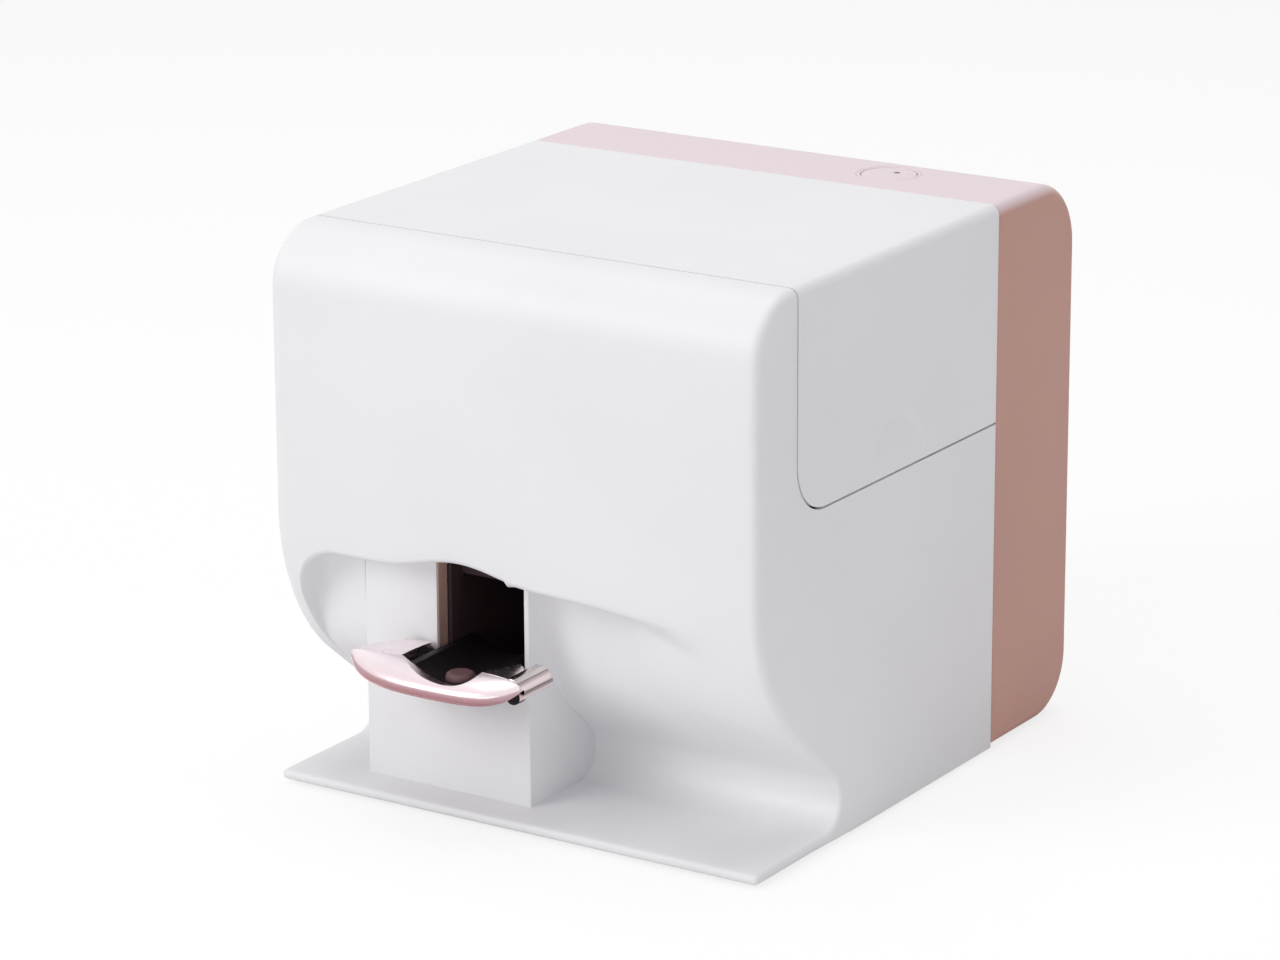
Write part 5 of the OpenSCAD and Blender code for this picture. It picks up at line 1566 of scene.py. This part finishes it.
class NAILPRINTER_OT_drives(Builder, bpy.types.Operator):
    """Threaded lead screw, toothed pulleys and the springs under the lever"""

    bl_idname = "nailprinter.drives"
    bl_label = "Drives and springs"

    def lathed(self, name, node, profile, slot, *replaced, steps=32):
        """A solid turned round the node's axis along Y; the profile holds radius and Y."""
        centre = middle(node)
        bm = bmesh.new()
        turned(bm, profile, Vector((centre.x, 0.0, centre.z)), "Y", steps)
        dressed(softened(name, bm), node, slot, *replaced)

    def pulley(self, node, bore=0.0):
        """Toothed pulley with a bore or a shaft; its teeth stay inside the node's radius."""
        low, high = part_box(node)
        radius = (high.x - low.x) / 2
        centre = middle(node)
        core = radius - 0.0007
        bm = bmesh.new()
        inner = [(bore, BELT_FRONT), (bore, BELT_REAR)]
        turned(bm, inner[:1] + [(radius, BELT_FRONT), (radius, BELT_FRONT + 0.0006),
                                (core, BELT_FRONT + 0.0008), (core, BELT_REAR - 0.0008),
                                (radius, BELT_REAR - 0.0006), (radius, BELT_REAR)]
               + inner[1:] + (inner[:1] if bore else []), Vector((centre.x, 0.0, centre.z)), "Y", 40)
        dressed(softened(f"{node}_hub", bm, 0.0001), node, SLOTS[node], node)
        bm = bmesh.new()
        foot = Vector((centre.x, 0.0, centre.z + core))
        half, into, tall = 0.0005, 0.0002, 0.00062
        cuboid(bm, foot + Vector((-half, BELT_FRONT + 0.0007, -into)),
               foot + Vector((half, BELT_REAR - 0.0007, tall)))
        teeth = softened(f"{node}_teeth", bm, 0.00015)
        ring_of_copies(teeth, SLOTS[node], 18, (centre.x, 0.0, centre.z))
        dressed(smooth(teeth), node, SLOTS[node])

    def lead_screw(self):
        """Core, thread and coupling of the lead screw."""
        low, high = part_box("lead_screw")
        centre = middle("lead_screw")
        outer, pitch, ridge, hub, shaft = 0.004, 0.002, 0.00055, 0.006, 0.0025
        start = high.y - 0.020
        core = outer - 0.0006
        self.lathed("lead_screw_core", "lead_screw",
                    [(0.0, low.y), (core - 0.0004, low.y), (core, low.y + 0.0004),
                     (core, start + 0.001), (0.0, start + 0.001)], "steel_rod", "lead_screw")
        bands = [(hub - 0.0002, 0.0), (hub, 0.0003), (hub, 0.0048), (hub - 0.0004, 0.0052),
                 (hub - 0.0004, 0.0058), (hub, 0.0062), (hub, 0.0107), (hub - 0.0002, 0.011),
                 (shaft, 0.011)]
        self.lathed("lead_screw_coupling", "lead_screw",
                    [(0.0, start)] + [(r, start + h) for r, h in bands]
                    + [(shaft, high.y), (0.0, high.y)], "cast_alloy", steps=40)
        long = start - low.y - 0.002
        thread = wound("lead_screw_thread", "steel_rod", outer - ridge, ridge, long / pitch, long,
                       (centre.x, low.y + 0.001, centre.z), (-pi / 2, 0.0, 0.0))
        dressed(thread, "lead_screw", "steel_rod")

    def springs(self):
        """Two springs under the lever."""
        low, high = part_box("lever_springs")
        wire, turns, radius = 0.00045, 6.5, 0.0033
        springs = wound("lever_springs_pair", "steel_rod", radius, wire, turns, high.z - low.z - 2 * wire,
                        (low.x + radius + wire, middle("lever_springs").y, low.z + wire))
        grid_of_copies(springs, "steel_rod", x=(2, (high.x - low.x - 2 * (radius + wire), 0, 0)))
        dressed(smooth(springs), "casing", "steel_rod", "lever_springs")
        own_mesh(springs)

    def execute(self, context):
        self.pulley("idler_pulley", bore=0.0023)
        self.pulley("drive_pulley")
        low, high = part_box("drive_pulley")
        shaft = 0.0025
        self.lathed("drive_shaft", "drive_pulley",
                    [(0.0, low.y), (shaft, low.y), (shaft, high.y), (0.0, high.y)], "steel_rod", steps=28)
        self.lead_screw()
        self.springs()
        return {"FINISHED"}


class NAILPRINTER_OT_works(Builder, bpy.types.Operator):
    """Everything inside the casing and under it"""

    bl_idname = "nailprinter.works"
    bl_label = "Works"

    def execute(self, context):
        done = {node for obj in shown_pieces() for node in obj.get("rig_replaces", [])}
        for node in SLOTS:
            if node not in done:
                machined(node)
        return {"FINISHED"}


# ---- stage ----


class NAILPRINTER_OT_stage(Builder, bpy.types.Operator):
    """White floor, soft lamps and the camera"""

    bl_idname = "nailprinter.stage"
    bl_label = "Stage"

    def execute(self, context):
        studio = settings().studio
        scene = context.scene
        scene.view_settings.view_transform = "Standard"
        self.floor()
        self.world(scene, studio)
        self.lamp("front_left_lamp", (-0.9, -1.5, 1.05), 1.1, studio.front_left, (1.0, 0.995, 0.99))
        self.lamp("front_lamp", (0.3, -1.9, 0.35), 1.0, studio.front)
        self.lamp("top_lamp", (-0.1, 0.2, 1.7), 1.4, studio.top)
        self.lamp("right_lamp", (1.7, 0.2, 0.7), 1.0, studio.right)
        self.camera(scene, studio)
        return {"FINISHED"}

    def floor(self):
        """A sheet of white paper under the object and far round it."""
        reach = 6.0
        mesh = bpy.data.meshes.new("floor")
        corners = [(x * reach, y * reach, 0.0) for x, y in ((-1, -1), (1, -1), (1, 1), (-1, 1))]
        mesh.from_pydata(corners, [], [(0, 1, 2, 3)])
        mesh.materials.append(self.paper())
        raw("floor", mesh)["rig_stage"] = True

    def camera(self, scene, studio):
        """The camera as fitted to the photograph: its angles in degrees and its place."""
        yaw, pitch, roll = 32.8475, 16.8081, -0.3052
        spot = place(0.747475, -1.089336, 0.504938)
        camera = bpy.data.cameras.new("camera")
        camera.lens = studio.lens
        camera.sensor_width = 36.0
        camera.clip_start = 0.05
        camera.clip_end = 30.0
        scene.camera = raw("camera", camera)
        scene.camera.matrix_world = (Matrix.Translation(spot) @ Matrix.Rotation(radians(yaw), 4, "Z")
                                     @ Matrix.Rotation(radians(90 - pitch), 4, "X")
                                     @ Matrix.Rotation(radians(roll), 4, "Z"))

    def lamp(self, name, spot, size, power, tint=(1.0, 1.0, 1.0)):
        """A round lamp that points at the middle of the object."""
        light = bpy.data.lights.new(name, "AREA")
        light.shape = "DISK"
        light.size = size
        light.energy = power
        light.color = tint
        lamp = raw(name, light)
        lamp.location = spot
        target = Vector((0.0, 0.0, 0.08))
        aim = target - lamp.location
        lamp.rotation_euler = aim.to_track_quat("-Z", "Y").to_euler()

    def paper(self):
        """White paper that keeps the object's shadow; the camera sees it partly glow, so that it is as
        white as the photograph's, and polished pieces see it rosy and darker, as they do a room."""
        finish = Finish("paper", (0.93, 0.93, 0.93), 0.9)
        clean = finish.mixed(finish.noise(30.0), (0.925, 0.925, 0.925), (0.935, 0.935, 0.935))
        mirrored = finish.node("ShaderNodeLightPath", output="Is Glossy Ray")
        seen = finish.node("ShaderNodeLightPath", output="Is Camera Ray")
        finish.set("Base Color", finish.mixed(mirrored, clean, (0.66, 0.54, 0.55)))
        glow = finish.node("ShaderNodeEmission", {"Color": (1.0, 1.0, 1.0, 1.0), "Strength": 1.06})
        mix = finish.node("ShaderNodeMixShader", {
            0: seen * 0.72, 1: Value(finish, finish.shader.outputs["BSDF"]), 2: glow})
        finish.feed(finish.tree.nodes["Material Output"].inputs["Surface"], mix)
        return finish.material

    def world(self, scene, studio):
        """Even room light; the camera and reflections see plain white."""
        world = bpy.data.worlds.new("room")
        scene.world = world
        world.use_nodes = True
        tree = world.node_tree
        path = tree.nodes.new("ShaderNodeLightPath")
        background = tree.nodes["Background"]
        background.inputs["Color"].default_value = (1.0, 1.0, 1.0, 1.0)
        seen = tree.nodes.new("ShaderNodeMath")
        seen.operation = "MAXIMUM"
        tree.links.new(path.outputs["Is Camera Ray"], seen.inputs[0])
        tree.links.new(path.outputs["Is Glossy Ray"], seen.inputs[1])
        strength = tree.nodes.new("ShaderNodeMapRange")
        tree.links.new(seen.outputs["Value"], strength.inputs["Value"])
        strength.inputs["To Min"].default_value = studio.room
        strength.inputs["To Max"].default_value = 1.0
        tree.links.new(strength.outputs["Result"], background.inputs["Strength"])


# ---- panel and registration ----

OPERATORS = (
    NAILPRINTER_OT_stage,
    NAILPRINTER_OT_front_housing,
    NAILPRINTER_OT_port_block,
    NAILPRINTER_OT_top_cover,
    NAILPRINTER_OT_rear_cover,
    NAILPRINTER_OT_finger_lever,
    NAILPRINTER_OT_power_button,
    NAILPRINTER_OT_fasteners,
    NAILPRINTER_OT_light_panel,
    NAILPRINTER_OT_control_board,
    NAILPRINTER_OT_drives,
    NAILPRINTER_OT_works,
)


class NAILPRINTER_PT_panel(bpy.types.Panel):
    """Lists the pieces and the settings"""

    bl_label = "Nail printer"
    bl_idname = "NAILPRINTER_PT_panel"
    bl_space_type = "VIEW_3D"
    bl_region_type = "UI"
    bl_category = "Nail printer"

    def draw(self, context):
        layout = self.layout
        for operator in OPERATORS:
            layout.operator(operator.bl_idname)
        for group in ("casing", "recess", "lever", "colors", "studio"):
            box = layout.box()
            values = getattr(context.scene.nail_printer, group)
            for name in values.__annotations__:
                box.prop(values, name)


CLASSES = (CasingSizes, RecessSizes, LeverSizes, FinishColors, StudioSettings, PrinterSettings,
           *OPERATORS, NAILPRINTER_PT_panel)


def register():
    for cls in CLASSES:
        bpy.utils.register_class(cls)
    bpy.types.Scene.nail_printer = PointerProperty(type=PrinterSettings)


def unregister():
    del bpy.types.Scene.nail_printer
    for cls in reversed(CLASSES):
        bpy.utils.unregister_class(cls)


def main():
    register()
    for operator in OPERATORS:
        name = operator.bl_idname.split(".")[1]
        getattr(bpy.ops.nailprinter, name)()


if __name__ == "__main__":
    main()
